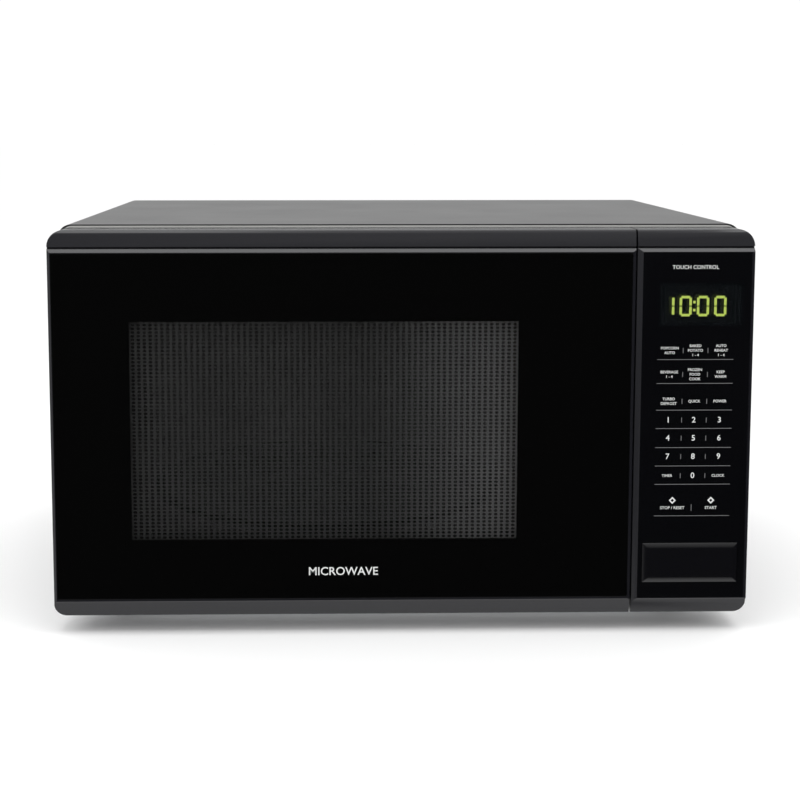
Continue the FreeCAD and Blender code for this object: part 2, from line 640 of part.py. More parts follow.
filter_x, filter_y = right - 36, wall_side - 46
filter_board = fused(block(-24, 24, -30, 30, 44, 45.6), rod("Z", 11, 45.6, 62, (-8, -12)),
                     block(6, 16, -24, -4, 45.6, 64), block(8, 20, 6, 26, 45.6, 57),
                     rod("Y", 3, 4, 26, (-12, 51)),
                     block(-15.5, -8.5, 4, 8, 45.6, 52), block(-15.5, -8.5, 22, 26, 45.6, 52),
                     *[rod("Z", 3, 0, 44, (x, y)) for x in (-20, 20) for y in (-26, 26)])
piece("noise_filter_board", filter_board, filter_x, filter_y, base_top)

# ---- component bay: cooling fan and oven lamp ----
shroud = fused(cut(block(-62, 62, 0, 22, -62, 62), rod("Y", d.fan_radius + 4, -1, 23)),
               block(-62, 62, 22, 25, -14, -10), block(-62, 62, 22, 25, 10, 14),
               block(-62, -60, 22, 44, -40, 40), block(60, 62, 22, 44, -40, 40))
piece("fan_shroud", shroud, fan_x, fan_front, fan_z)
fan_motor = cut(fused(block(-26, 26, 25, 39, -18, 18), block(-26, -18, 25, 39, -48, -18),
                      block(18, 26, 25, 39, -48, -18), block(-26, 26, 25, 39, -48, -40),
                      rod("X", 11, -17, 17, (32, -31))),
                rod("Y", 1.5 + d.running_fit, 20, 42))
piece("fan_motor", fan_motor, fan_x, fan_front, fan_z)
blades = []
for number in range(5):
    blade = bound(doc.addObject("Part::Box", "Blade"), Length=d.fan_radius - 7, Width=1.6, Height=22)
    turn = FreeCAD.Rotation(Y_AXIS, 72 * number).multiply(FreeCAD.Rotation(X_AXIS, 50))
    corner = turn.multVec(FreeCAD.Vector(7, -0.8, -11))
    blade.Placement = FreeCAD.Placement(corner, turn)
    blades.append(place(blade, corner.x, corner.y + 10, corner.z))
fan_blade = fused(rod("Y", 10, 3, 18), rod("Y", 1.5, 0, 40), *blades)
piece("fan_blade", fan_blade, fan_x, fan_front, fan_z)

lamp = fused(rod("X", 9, 10, 20), cone("X", 3, 9, 5, 10), rod("X", 7, 20, 32))
piece("oven_lamp", lamp, bay, lamp_y, lamp_z)
holder = fused(cut(block(24, 46, -12, 12, -12, 12), rod("X", 7, 23, 32)), block(0, 46, 12, 13.2, -12, 12),
               block(0, 1.2, 13.2, 26, -12, 12))
piece("lamp_holder", holder, bay, lamp_y, lamp_z)

cutouts = gathered(fused(rod("X", 8, bay, bay + 7, (guide_y - 115, top - 60)),
                         block(bay, bay + 1, guide_y - 128, guide_y - 102, top - 64, top - 56)),
                   fused(rod("Z", 8, guide_z + 40, guide_z + 47, (magnetron_x + 35, guide_y)),
                         block(magnetron_x + 22, magnetron_x + 48, guide_y - 4, guide_y + 4,
                               guide_z + 40, guide_z + 41)))
piece("thermal_cutouts", cutouts)

# ---- front mouldings shared by the door and the control panel ----
def front_bands(body):
    """Cuts the moulded top band, its groove and the sloping chin out of a front block."""
    groove = front_top - 12.4
    pocket(body, "YZ_Plane", left - 1, right + 1,
           (polygon, [(face - 1, groove - 4.1), (face, groove - 4.1), (face + 2, groove - 1.4),
                      (face + 3.2, groove - 1.4), (face + 3.2, groove), (face + 1.2, groove),
                      (face + 2.6, front_top - 2.5), (face + 5, front_top + 1), (face - 1, front_top + 1)]),
           (polygon, [(face - 1, front_bottom - 1), (face + 4.5, front_bottom - 1),
                      (face + 1, front_bottom + 11), (face, front_bottom + 12),
                      (face - 1, front_bottom + 12)]))


def corner_cut(body, x, y, along_x, along_y):
    """Bevels one vertical edge of a front block."""
    pocket(body, "XY_Plane", front_bottom - 1, front_top + 1,
           (polygon, [(x, y), (x + along_x, y), (x, y + along_y)]))


# ---- control panel ----
inset = d.moulding
panel = body_of()
pad(panel, "XZ_Plane", face, door_back,
    (rounded, panel_left, right, front_bottom, front_top, (None, d.corner_bottom, d.corner_top, None)))
pad(panel, "XZ_Plane", door_back, plate_front,
    (rounded, panel_left + inset / 2, right - inset / 2, front_bottom + inset / 2, front_top - inset / 2,
     (None, d.corner_bottom - inset / 2, d.corner_top - inset / 2, None)))
front_bands(panel)
skin_back = face + 4
pocket(panel, "XZ_Plane", skin_back, plate_front + 1,
       (rounded, panel_left + inset, right - inset, front_bottom + inset, front_top - inset,
        (None, d.corner_bottom - inset, d.corner_top - inset, None)))
keys_x0, keys_x1 = panel_left + 4, right - 2.2
pocket(panel, "XZ_Plane", face - 1, face + d.overlay,
       (rectangle, keys_x0, keys_x1, front_bottom + 12.5, glass_z1 + 0.2))
cap_x, cap_z = d.button_width / 2 + 0.3, d.button_height / 2 + 0.3
display_x0, display_x1, display_z0, display_z1 = button_x - 27, button_x + 35.5, top - 74, top - 42
pocket(panel, "XZ_Plane", face - 1, skin_back + 1,
       (rectangle, button_x - cap_x, button_x + cap_x, button_z - cap_z, button_z + cap_z),
       (rectangle, display_x0 + 2, display_x1 - 2, display_z0 + 2, display_z1 - 2))
corner_cut(panel, panel_left, face, 4, 2)
piece("control_panel_frame", panel)

membrane = body_of()
pad(membrane, "XZ_Plane", 0, d.overlay, (rectangle, keys_x0, keys_x1, front_bottom + 12.5, glass_z1 + 0.2))
pocket(membrane, "XZ_Plane", -1, d.overlay + 1,
       (rectangle, button_x - cap_x, button_x + cap_x, button_z - cap_z, button_z + cap_z),
       (rectangle, display_x0, display_x1, display_z0, display_z1))
piece("keypad_membrane", membrane, 0, face)
piece("display_window", block(0, display_x1 - display_x0, 0, d.overlay, 0, display_z1 - display_z0),
      display_x0, face, display_z0)

board_front = face + 12.5 + d.button_travel
module = fused(block(0, 52, 0, 12, 0, 28), block(3, 49, 0, 12, -3, 31))
piece("display_module", module, display_x0 + 5, board_front - 12, display_z0 + 2)
board_x, board_z = button_x + 0.2, button_z + d.board_rise
board_height = top - d.board_drop - board_z
board = fused(block(-34, 34, 0, 1.6, 0, board_height), block(-28, -4, 1.6, 12, 20, 48),
              block(4, 30, 1.6, 15, 16, 50), block(-28, -10, 1.6, 14, 62, 78), block(-6, 12, 1.6, 14, 62, 78),
              rod("Y", 6, 1.6, 15, (24, 70)), rod("Y", 4, 1.6, 13, (24, 90)),
              block(-16, 16, 1.6, 5, 104, 114),
              block(-30, 30, 1.6, 8, board_height - 14, board_height - 6),
              *[rod("Y", 3, -13.5, 0, (x, z)) for x in (-31, 31) for z in (4, board_height - 4)])
piece("control_board", board, board_x, board_front, board_z)

# ---- door release: button, spring, lever, latch body and switches ----
button = body_of()
half_x, half_z = d.button_width / 2, d.button_height / 2
pad(button, "XZ_Plane", 0, 6.5, (rectangle, -half_x, half_x, -half_z, half_z))
base_sketch = sketch_on(button, "XZ_Plane", 0)
rectangle(base_sketch, -half_x, half_x, -half_z, half_z)
tip_sketch = sketch_on(button, "XZ_Plane", -d.button_proud)
rectangle(tip_sketch, d.button_bevel - half_x, half_x - d.button_bevel, d.button_bevel - half_z,
          half_z - d.button_bevel)
crown = button.newObject("PartDesign::AdditiveLoft", "Crown")
crown.Profile = base_sketch
crown.Sections = [tip_sketch]
flange_back, spring_x = 6.5, 6
pad(button, "XZ_Plane", 4.2, flange_back, (rectangle, -half_x - 3, half_x + 2.6, -half_z - 3, half_z + 3))
stem_end = d.front_depth + d.seal_gap + d.chassis_sheet + 2.6
pad(button, "XZ_Plane", flange_back, stem_end - 4, (rectangle, -35, -28, -4, 4))
pad(button, "XZ_Plane", stem_end - 4, stem_end, (rectangle, -33, -29, -1, 1))
pad(button, "XZ_Plane", flange_back, flange_back + 3, (circle, spring_x, 0, 2.6))
piece("release_button", button, button_x, face, button_z)

spring = coil(3.6, 0.55, d.front_depth + d.seal_gap - flange_back - 1.2, 6)
spring.Placement = FreeCAD.Placement(FreeCAD.Vector(), ALONG["Y"])
piece("button_spring", spring, button_x + spring_x, face + flange_back + 0.6, button_z)

pivot_y, pivot_z = plate_back + 5, button_z + d.lever_arm
arm_x = stem_x - hook_x
half_hook = d.hook_thickness / 2
lever = fused(rod("X", 3, -6, arm_x + 5.5), block(arm_x - 2, arm_x + 2, -2, 2, -d.lever_arm - 2, 0),
              block(-half_hook, half_hook, -3, 3, -9, 3), block(-half_hook, half_hook, -3, 22, -9, -5),
              block(-half_hook, half_hook, 17.5, 22, -5, 0.5))
piece("release_lever", lever, hook_x, pivot_y, pivot_z)

plate_x = 8
latch_top = hook_high - pivot_z
cheek = arm_x + 3.6
latch_body = cut(
    fused(block(plate_x, plate_x + 3, -5, 39, -20, latch_top + 20), block(-6, plate_x, 6, 11, -1.7, 0.5),
          block(-6, plate_x, 6, 11, latch_top - 13, latch_top - 9.5),
          block(cheek, cheek + 3, -5, 27, -22, 15),
          block(plate_x + 3, cheek, -5, 7, 12, 15), block(plate_x + 3, plate_x + 12, -5, -2, 30, latch_top)),
    rod("X", 3 + d.running_fit, plate_x - 1, cheek + 4))
piece("latch_body", latch_body, hook_x, pivot_y, pivot_z)

switches = []
for height in (10, latch_top):
    switches.append(fused(block(-2, plate_x, 24.6, 40.4, height - 14, height + 14),
                          block(1, 5, 23.4, 24.6, height - 2, height + 2),
                          *[block(2, 4, 40.4, 47, height + step - 2, height + step + 2)
                            for step in (-9, 0, 9)]))
sense_slot = block(arm_x - 1.1, arm_x + 1.1, 8, 12.3, -8.1, -6.9)
switches.append(cut(fused(block(cheek - 9, cheek, 9, 25, -20, 8),
                          *[block(cheek - 6, cheek - 4, 25, 31, step - 2, step + 2)
                            for step in (-15, -6, 3)]),
                    sense_slot))
piece("interlock_switches", gathered(*switches), hook_x, pivot_y, pivot_z)
piece("switch_plunger", block(0, 2, 0, 8.3, 0, 1), stem_x - 1, pivot_y + 2.7, pivot_z - 8)

# ---- hinges ----
for name, tongue, way in (("upper_hinge", upper_tongue, -1), ("lower_hinge", lower_tongue, 1)):
    near, far = (1, 11) if way > 0 else (-10.5, -1)
    flange = (-1, 28) if way > 0 else (-28, 1)
    hinge = fused(rod("Z", 4.5, -1, 1), rod("Z", d.pin_radius, near, far),
                  block(-4.5, 4.5, 0, plate_back + 2 - hinge_y, -1, 1),
                  block(-4.5, 15, plate_back - hinge_y, plate_back + 2 - hinge_y, *flange))
    piece(name, hinge, hinge_x, hinge_y, tongue)
bushes = []
for tongue, low, high in ((upper_tongue, -11.5, -1.5), (lower_tongue, 1.5, 11.5)):
    bushes.append(cut(fused(rod("Z", 4.4, tongue + low, tongue + high),
                            block(-4.4, 4.4, face + 6 - hinge_y, 0, tongue + low, tongue + high)),
                      rod("Z", d.pin_radius + d.running_fit, tongue + low - 1, tongue + high + 1)))
piece("hinge_bushes", gathered(*bushes), hinge_x, hinge_y)

# ---- door ----
door_skin = face + 6
door = body_of()
pad(door, "XZ_Plane", face, door_back,
    (rounded, left, door_right, front_bottom, front_top, (d.corner_bottom, None, None, d.corner_top)))
front_bands(door)
pocket(door, "XZ_Plane", door_skin, door_back + 1,
       (rounded, left + inset, door_right - inset, front_bottom + inset, front_top - inset,
        (d.corner_bottom - inset, None, None, d.corner_top - inset)))
pocket(door, "XZ_Plane", face - 1, face + d.front_glass, (rectangle, glass_x0, glass_x1, glass_z0, glass_z1))
pocket(door, "XZ_Plane", face + d.front_glass - 1, door_skin + 1,
       (rounded, window_x0 - 8, window_x1 + 8, window_z0 - 8, window_z1 + 8, (6, 6, 6, 6)))
for tongue in (upper_tongue, lower_tongue):
    pocket(door, "XY_Plane", tongue - 2, tongue + 2,
           (rectangle, left - 1, hinge_x + 5, hinge_y - 9.5, door_back + 1))
corner_cut(door, left, door_back, 4, -4)
corner_cut(door, left, face, 2.2, 1.8)
corner_cut(door, door_right, face, -2.2, 1)
pad(door, "XZ_Plane", door_skin, hinge_y + 1.9,
    *[(rectangle, hook_x - 8, hook_x + 8, height, height + 16) for height in (hook_low - 24, hook_high - 24)])
pad(door, "XZ_Plane", door_skin, hinge_y + 8,
    (rectangle, hook_x - 6, hook_x + 6, front_bottom + inset, front_bottom + 17))
piece("door_frame", door)

piece("door_front_panel", block(0, glass_x1 - glass_x0, 0, d.front_glass, 0, glass_z1 - glass_z0),
      glass_x0, face, glass_z0)

pan_x0, pan_x1, pan_z0, pan_z1 = left + 14.5, hook_x - 12, front_bottom + 7, front_top - 7
choke_front = door_back - d.choke_depth
pan_wall = d.pan_sheet
pan = body_of()
pad(pan, "XZ_Plane", door_skin, choke_front, (rounded, pan_x0, pan_x1, pan_z0, pan_z1, (5, 5, 5, 5)))
pocket(pan, "XZ_Plane", door_skin + pan_wall, choke_front + 1,
       (rounded, pan_x0 + pan_wall, pan_x1 - pan_wall, pan_z0 + pan_wall, pan_z1 - pan_wall,
        (5 - pan_wall,) * 4))
pocket(pan, "XZ_Plane", door_skin - 1, door_skin + pan_wall + 1,
       (rounded, window_x0, window_x1, window_z0, window_z1, (5, 5, 5, 5)))
piece("door_pan", pan)


def window_sheet(border, thickness):
    """A sheet over the window opening, inside the walls of the door pan."""
    x0, x1 = window_x0 - border, lesser(window_x1 + border, pan_x1 - pan_wall - d.edge_gap)
    z0, z1 = window_z0 - border, lesser(window_z1 + border, pan_z1 - pan_wall - d.edge_gap)
    return block(0, x1 - x0, 0, thickness, 0, z1 - z0), x0, z0


screen, screen_x, screen_z = window_sheet(d.screen_border, d.screen_sheet)
piece("door_screen", screen, screen_x, door_skin + pan_wall, screen_z)
inner, inner_x, inner_z = window_sheet(d.inner_border, d.pan_sheet)
piece("inner_window", inner, inner_x, choke_front - d.pan_sheet, inner_z)

choke = body_of()
pad(choke, "XZ_Plane", choke_front, door_back,
    (rounded, left + 5, door_right - 2.7, front_bottom + 2.7, front_top - 2.7, (4, 3, 3, 6)))
pocket(choke, "XZ_Plane", choke_front - 1, door_back + 1,
       (rounded, window_x0, window_x1, window_z0, window_z1, (5, 5, 5, 5)))
pocket(choke, "XZ_Plane", choke_front - 1, door_back + 1,
       *[(rectangle, hook_x - 5.5, hook_x + 5.5, height - 11, height + 11)
         for height in (hook_low, hook_high)])
for tongue in (upper_tongue, lower_tongue):
    pocket(choke, "XZ_Plane", choke_front - 1, door_back + 1,
           (rectangle, left, hinge_x + 5.5, tongue - 2.5, tongue + 2.5))
piece("choke_cover", choke)

bar_front = hinge_y + 2
hook_tip = plate_back + 28
hooks = [block(-6, 6, 0, 8, hook_low - 30, hook_high + 15)]
for height in (hook_low, hook_high):
    hooks.append(block(-half_hook, half_hook, 8, hook_tip - bar_front, height - 4, height + 4))
    hooks.append(block(-half_hook, half_hook, hook_tip - bar_front - 11.5, hook_tip - bar_front,
                       height - 9, height - 4))
piece("latch_hooks", fused(*hooks), hook_x, bar_front)

latch_spring = coil(3.2, 0.45, hook_low - 30 - (front_bottom + 17) - 1, 8)
piece("latch_spring", latch_spring, hook_x, bar_front + 4, front_bottom + 17.5)

# ---- check and write every sub-part ----
doc.recompute()
faults = [thing.Name for thing in doc.Objects if {"Invalid", "Error"} & set(thing.State)]
faults += [name for name, thing in PIECES if thing.Shape.isNull() or not thing.Shape.isValid()]
if faults:
    raise RuntimeError(f"these objects failed: {', '.join(faults)}")
os.makedirs("parts", exist_ok=True)
for name, thing in PIECES:
    thing.Shape.exportStep(f"parts/{name}.step")
print(f"{len(PIECES)} sub-parts written")
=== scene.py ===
import math

import bpy
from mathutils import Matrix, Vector


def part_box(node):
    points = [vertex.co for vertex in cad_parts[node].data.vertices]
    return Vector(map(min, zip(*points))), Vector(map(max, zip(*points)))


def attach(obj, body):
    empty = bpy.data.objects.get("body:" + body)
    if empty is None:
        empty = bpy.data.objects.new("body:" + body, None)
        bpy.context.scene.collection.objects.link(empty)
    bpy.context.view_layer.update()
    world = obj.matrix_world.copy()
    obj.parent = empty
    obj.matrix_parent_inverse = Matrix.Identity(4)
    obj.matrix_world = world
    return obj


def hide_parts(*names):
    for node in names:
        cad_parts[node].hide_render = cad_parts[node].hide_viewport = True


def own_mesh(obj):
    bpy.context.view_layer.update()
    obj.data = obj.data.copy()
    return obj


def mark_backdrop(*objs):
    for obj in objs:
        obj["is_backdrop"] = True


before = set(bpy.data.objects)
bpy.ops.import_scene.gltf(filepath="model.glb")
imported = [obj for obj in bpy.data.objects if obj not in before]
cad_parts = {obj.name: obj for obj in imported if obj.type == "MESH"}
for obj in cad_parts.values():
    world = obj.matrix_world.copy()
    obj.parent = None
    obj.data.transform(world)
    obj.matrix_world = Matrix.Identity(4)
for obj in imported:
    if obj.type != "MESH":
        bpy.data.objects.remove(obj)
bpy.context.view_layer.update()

MM = 0.001


# ---- Studio ----
# A pale table top that runs out to the horizon, a broad softbox overhead, a smaller one at the left
# and a surround that, in front, is bright above and below and dim at eye level, as black gloss needs.
def new_material(name):
    """A fresh material, with its nodes, its links and its shader."""
    material = bpy.data.materials.new(name)
    material.use_nodes = True
    tree = material.node_tree
    return material, tree.nodes, tree.links, tree.nodes["Principled BSDF"]


def table_top():
    bpy.ops.mesh.primitive_plane_add(size=60)
    table = bpy.context.object
    table.name = "table_top"
    table.visible_glossy = False
    material, _, _, shader = new_material("pale_table")
    shader.inputs["Base Color"].default_value = (0.97, 0.97, 0.97, 1)
    shader.inputs["Roughness"].default_value = 0.9
    table.data.materials.append(material)
    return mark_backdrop(table)


def softbox(name, place, target, width, height, power):
    data = bpy.data.lights.new(name, "AREA")
    data.shape, data.size, data.size_y, data.energy = "RECTANGLE", width, height, power
    light = bpy.data.objects.new(name, data)
    bpy.context.collection.objects.link(light)
    light.location = place
    light.rotation_euler = (Vector(target) - Vector(place)).to_track_quat("-Z", "Y").to_euler()


def ramp_of(nodes, stops):
    """A colour ramp from pairs of a place and a grey or a colour."""
    ramp = nodes.new("ShaderNodeValToRGB")
    for n, (place, shade) in enumerate(stops):
        stop = ramp.color_ramp.elements[n] if n < 2 else ramp.color_ramp.elements.new(place)
        stop.position = place
        stop.color = (*shade, 1) if isinstance(shade, tuple) else (shade, shade, shade, 1)
    return ramp


IN_FRONT = ((0.0, 0.9), (0.14, 0.75), (0.28, 0.02), (0.34, 0.006), (0.52, 0.006), (0.56, 0.2), (0.66, 0.42),
            (1.0, 1.1))
BEHIND = ((0.0, 0.8), (0.4, 0.36), (0.5, 0.37), (0.6, 0.46), (1.0, 0.9))
AWAY_FROM_FRONT = (-0.6, 0.8, 0)
SHOWN_LIGHT, GLOSS_LIGHT = 1.05, 1.4


def surround():
    """Gloss sees two ramps by height, one in front and one behind and at the left. The rest is white."""
    world = bpy.data.worlds.new("surround")
    world.use_nodes = True
    bpy.context.scene.world = world
    nodes, links = world.node_tree.nodes, world.node_tree.links
    nodes.clear()
    way = nodes.new("ShaderNodeTexCoord")
    parts = nodes.new("ShaderNodeSeparateXYZ")
    links.new(way.outputs["Generated"], parts.inputs[0])
    height = nodes.new("ShaderNodeMapRange")
    height.inputs["From Min"].default_value = -1
    links.new(parts.outputs["Z"], height.inputs["Value"])
    bearing = nodes.new("ShaderNodeVectorMath")
    bearing.operation = "DOT_PRODUCT"
    bearing.inputs[1].default_value = AWAY_FROM_FRONT
    links.new(way.outputs["Generated"], bearing.inputs[0])
    behind = nodes.new("ShaderNodeMapRange")
    behind.inputs["From Min"].default_value = -0.6
    behind.inputs["From Max"].default_value = 0
    links.new(bearing.outputs["Value"], behind.inputs["Value"])
    mix = nodes.new("ShaderNodeMix")
    mix.data_type = "RGBA"
    links.new(behind.outputs[0], mix.inputs["Factor"])
    for socket, stops in (("A", IN_FRONT), ("B", BEHIND)):
        ramp = ramp_of(nodes, stops)
        links.new(height.outputs[0], ramp.inputs[0])
        links.new(ramp.outputs[0], mix.inputs[socket])
    path = nodes.new("ShaderNodeLightPath")
    output = nodes.new("ShaderNodeOutputWorld")
    chosen = nodes.new("ShaderNodeMixShader")
    links.new(path.outputs["Is Glossy Ray"], chosen.inputs[0])
    shown, gloss = nodes.new("ShaderNodeBackground"), nodes.new("ShaderNodeBackground")
    shown.inputs["Strength"].default_value, gloss.inputs["Strength"].default_value = SHOWN_LIGHT, GLOSS_LIGHT
    shown.inputs["Color"].default_value = (1, 1, 1, 1)
    links.new(mix.outputs["Result"], gloss.inputs["Color"])
    links.new(shown.outputs[0], chosen.inputs[1])
    links.new(gloss.outputs[0], chosen.inputs[2])
    links.new(chosen.outputs[0], output.inputs["Surface"])


table_top()
surround()
softbox("overhead_softbox", (0.1, -0.55, 1.5), (0, -0.1, 0.2), 1.5, 0.9, 9)
softbox("left_softbox", (-1.3, -0.9, 0.9), (0, 0, 0.2), 0.5, 1.0, 4)


# ---- Camera ----
# Just over a metre in front of the door, left of the middle and a little above the cover.
# The lens is shifted down so that the uprights stay nearly upright.
camera_data = bpy.data.cameras.new("camera")
camera_data.lens = 63.7
camera_data.shift_x, camera_data.shift_y = 0.05, -0.16
camera = bpy.data.objects.new("camera", camera_data)
bpy.context.collection.objects.link(camera)
camera.location = (-0.0505, -1.2401, 0.3838)
camera.rotation_euler = (math.pi / 2 - 0.1022, 0, -0.0184)
bpy.context.scene.camera = camera
bpy.context.scene.view_settings.view_transform = "Standard"


# ---- Outer cover ----
# One sheet of steel bent over the top and both sides, powder coated satin black and screwed on from
# behind. It has louvres by the component bay and by the cavity's exhaust.
def finish_group(name, inputs):
    """A node group that takes these inputs and gives a colour, a roughness and a normal."""
    group = bpy.data.node_groups.new(name, "ShaderNodeTree")
    for label, value in inputs:
        kind = "NodeSocketColor" if isinstance(value, tuple) else "NodeSocketFloat"
        group.interface.new_socket(label, in_out="INPUT", socket_type=kind).default_value = value
    for label, kind in (("Color", "NodeSocketColor"), ("Roughness", "NodeSocketFloat"),
                        ("Normal", "NodeSocketVector")):
        group.interface.new_socket(label, in_out="OUTPUT", socket_type=kind)
    nodes = group.nodes
    return group, nodes, group.links, nodes.new("NodeGroupInput").outputs, nodes.new("NodeGroupOutput").inputs


def sum_node(nodes, links, operation, *values):
    """One step of arithmetic on sockets and plain numbers."""
    step = nodes.new("ShaderNodeMath")
    step.operation = operation
    for n, value in enumerate(values):
        if isinstance(value, bpy.types.NodeSocket):
            links.new(value, step.inputs[n])
        else:
            step.inputs[n].default_value = value
    return step.outputs[0]


def scaled_colour(nodes, links, colour, gain):
    shade = nodes.new("ShaderNodeVectorMath")
    shade.operation = "SCALE"
    links.new(colour, shade.inputs[0])
    links.new(gain, shade.inputs["Scale"])
    return shade.outputs[0]


def relief(nodes, links, height, strength, distance):
    """The normal of a surface with this height on it."""
    bump = nodes.new("ShaderNodeBump")
    bump.inputs["Distance"].default_value = distance
    if isinstance(strength, bpy.types.NodeSocket):
        links.new(strength, bump.inputs["Strength"])
    else:
        bump.inputs["Strength"].default_value = strength
    links.new(height, bump.inputs["Height"])
    return bump.outputs[0]


def orange_peel():
    """Sprayed or moulded skin: a fine grain in the normal, and slow drifts of shade and gloss."""
    group, nodes, links, given, result = finish_group("orange_peel", (
        ("Color", (0.5, 0.5, 0.5, 1)), ("Roughness", 0.4), ("Grain per metre", 900), ("Depth", 0.1),
        ("Drift", 0.1)))
    place = nodes.new("ShaderNodeTexCoord")
    grain, slow = nodes.new("ShaderNodeTexNoise"), nodes.new("ShaderNodeTexNoise")
    grain.inputs["Detail"].default_value = 3
    slow.inputs["Scale"].default_value = 14
    slow.inputs["Detail"].default_value = 5
    for noise in (grain, slow):
        links.new(place.outputs["Object"], noise.inputs["Vector"])
    links.new(given["Grain per metre"], grain.inputs["Scale"])
    links.new(relief(nodes, links, grain.outputs["Fac"], given["Depth"], 0.0002), result["Normal"])
    either_way = sum_node(nodes, links, "MULTIPLY_ADD", slow.outputs["Fac"], 2, -1)
    share = sum_node(nodes, links, "MULTIPLY", either_way, given["Drift"])
    links.new(sum_node(nodes, links, "ADD", given["Roughness"], share), result["Roughness"])
    gain = sum_node(nodes, links, "ADD", share, 1)
    links.new(scaled_colour(nodes, links, given["Color"], gain), result["Color"])
    return group


skin_group = orange_peel()


def wear(nodes, links, shader, group, values):
    """Puts a finish group with these values on a shader."""
    finish = nodes.new("ShaderNodeGroup")
    finish.node_tree = group
    for label, value in values.items():
        finish.inputs[label].default_value = value
    for label, socket in (("Color", "Base Color"), ("Roughness", "Roughness"), ("Normal", "Normal")):
        links.new(finish.outputs[label], shader.inputs[socket])
    return finish


def skinned(name, colour, roughness, grain=900, depth=0.1, drift=0.1, specular=0.5, coat=0.0):
    """A plain coloured finish with its own grain and drift."""
    material, nodes, links, shader = new_material(name)
    shader.inputs["Specular IOR Level"].default_value = specular
    shader.inputs["Coat Weight"].default_value = coat
    wear(nodes, links, shader, skin_group, {"Color": (*colour, 1), "Roughness": roughness, "Depth": depth,
                                            "Grain per metre": grain, "Drift": drift})
    return material


def clear_selection():
    if bpy.context.object and bpy.context.object.mode != "OBJECT":
        bpy.ops.object.mode_set(mode="OBJECT")
    bpy.ops.object.select_all(action="DESELECT")


def take(obj):
    """Makes one object the active and only selected one."""
    clear_selection()
    obj.select_set(True)
    bpy.context.view_layer.objects.active = obj
    return obj


def smooth(piece, degrees=32):
    """Rounds the shading over soft edges and keeps the broad faces flat."""
    take(piece)
    bpy.ops.object.shade_smooth_by_angle(angle=math.radians(degrees))
    weighted = piece.modifiers.new("flat_faces", "WEIGHTED_NORMAL")
    weighted.keep_sharp, weighted.weight = True, 100
    bpy.ops.object.modifier_apply(modifier="flat_faces")
    return piece


def rounded_copy(name, node, radius, steps=2):
    """A node's own form as one clean mesh, with its edges broken by a small radius."""
    piece = bpy.data.objects.new(name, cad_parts[node].data.copy())
    bpy.context.collection.objects.link(piece)
    take(piece)
    bpy.ops.object.mode_set(mode="EDIT")
    bpy.ops.mesh.select_all(action="SELECT")
    bpy.ops.mesh.remove_doubles(threshold=0.000002)
    bpy.ops.mesh.dissolve_limited(angle_limit=math.radians(0.5))
    bpy.ops.object.mode_set(mode="OBJECT")
    bevel = piece.modifiers.new("edge_break", "BEVEL")
    bevel.width, bevel.segments = radius, steps
    bevel.limit_method, bevel.angle_limit = "ANGLE", math.radians(32)
    bevel.miter_outer = "MITER_ARC"
    bpy.ops.object.modifier_apply(modifier="edge_break")
    return smooth(piece)


def dressed(piece, material):
    """Gives the whole piece one material."""
    piece.data.materials.clear()
    piece.data.materials.append(material)
    return piece


def finish_nodes(material, *nodes):
    """Parts whose form is already right only take their material."""
    for node in nodes:
        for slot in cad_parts[node].material_slots:
            slot.material = material


satin_black = skinned("satin_black_powder_coat", (0.022, 0.022, 0.023), 0.3, grain=1500, depth=0.18,
                      drift=0.05)
cover = dressed(rounded_copy("cover_shell", "outer_cover", 0.25 * MM), satin_black)
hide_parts("outer_cover")
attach(cover, "housing")

# ---- Base plate and rear panel ----
# Zinc coated steel sheet, pressed and pierced, spot welded into the chassis under the cover.
# The zinc freezes in crystals, which catch the light each at its own angle.
def spangle():
    """Zinc crystals: a shade and a gloss of its own for each cell, and a fine rolled grain."""
    group, nodes, links, given, result = finish_group("spangle", (
        ("Color", (0.5, 0.5, 0.5, 1)), ("Roughness", 0.4), ("Crystals per metre", 150), ("Contrast", 0.2)))
    place = nodes.new("ShaderNodeTexCoord")
    cells, grain = nodes.new("ShaderNodeTexVoronoi"), nodes.new("ShaderNodeTexNoise")
    grain.inputs["Scale"].default_value = 2500
    for texture in (cells, grain):
        links.new(place.outputs["Object"], texture.inputs["Vector"])
    links.new(given["Crystals per metre"], cells.inputs["Scale"])
    tone = nodes.new("ShaderNodeSeparateXYZ")
    links.new(cells.outputs["Color"], tone.inputs[0])
    share = sum_node(nodes, links, "MULTIPLY", tone.outputs["X"], given["Contrast"])
    gain = sum_node(nodes, links, "SUBTRACT", 1, share)
    links.new(scaled_colour(nodes, links, given["Color"], gain), result["Color"])
    links.new(sum_node(nodes, links, "MULTIPLY_ADD", share, 0.6, given["Roughness"]), result["Roughness"])
    links.new(relief(nodes, links, grain.outputs["Fac"], 0.06, 0.0001), result["Normal"])
    return group


spangle_group = spangle()


def plated(name, colour, roughness, crystals, contrast, metallic=0.9):
    """A bare or plated metal made of visible crystals."""
    material, nodes, links, shader = new_material(name)
    shader.inputs["Metallic"].default_value = metallic
    wear(nodes, links, shader, spangle_group, {"Color": (*colour, 1), "Roughness": roughness,
                                               "Crystals per metre": crystals, "Contrast": contrast})
    return material


zinc_sheet = plated("zinc_coated_sheet", (0.5, 0.51, 0.52), 0.36, crystals=300, contrast=0.11)
finish_nodes(zinc_sheet, "base_plate", "rear_panel")


# ---- Feet ----
# Four turned-down rubber feet, moulded hollow for the screw that holds each to the base plate.
def settle(piece):
    """Puts a piece's place, turn and size into its mesh."""
    take(piece)
    bpy.ops.object.transform_apply(location=True, rotation=True, scale=True)
    return piece


def copy_by(piece, name, shift):
    """A copy with its own mesh, moved by a shift in metres."""
    other = bpy.data.objects.new(name, piece.data.copy())
    bpy.context.collection.objects.link(other)
    other.location = shift
    return settle(other)


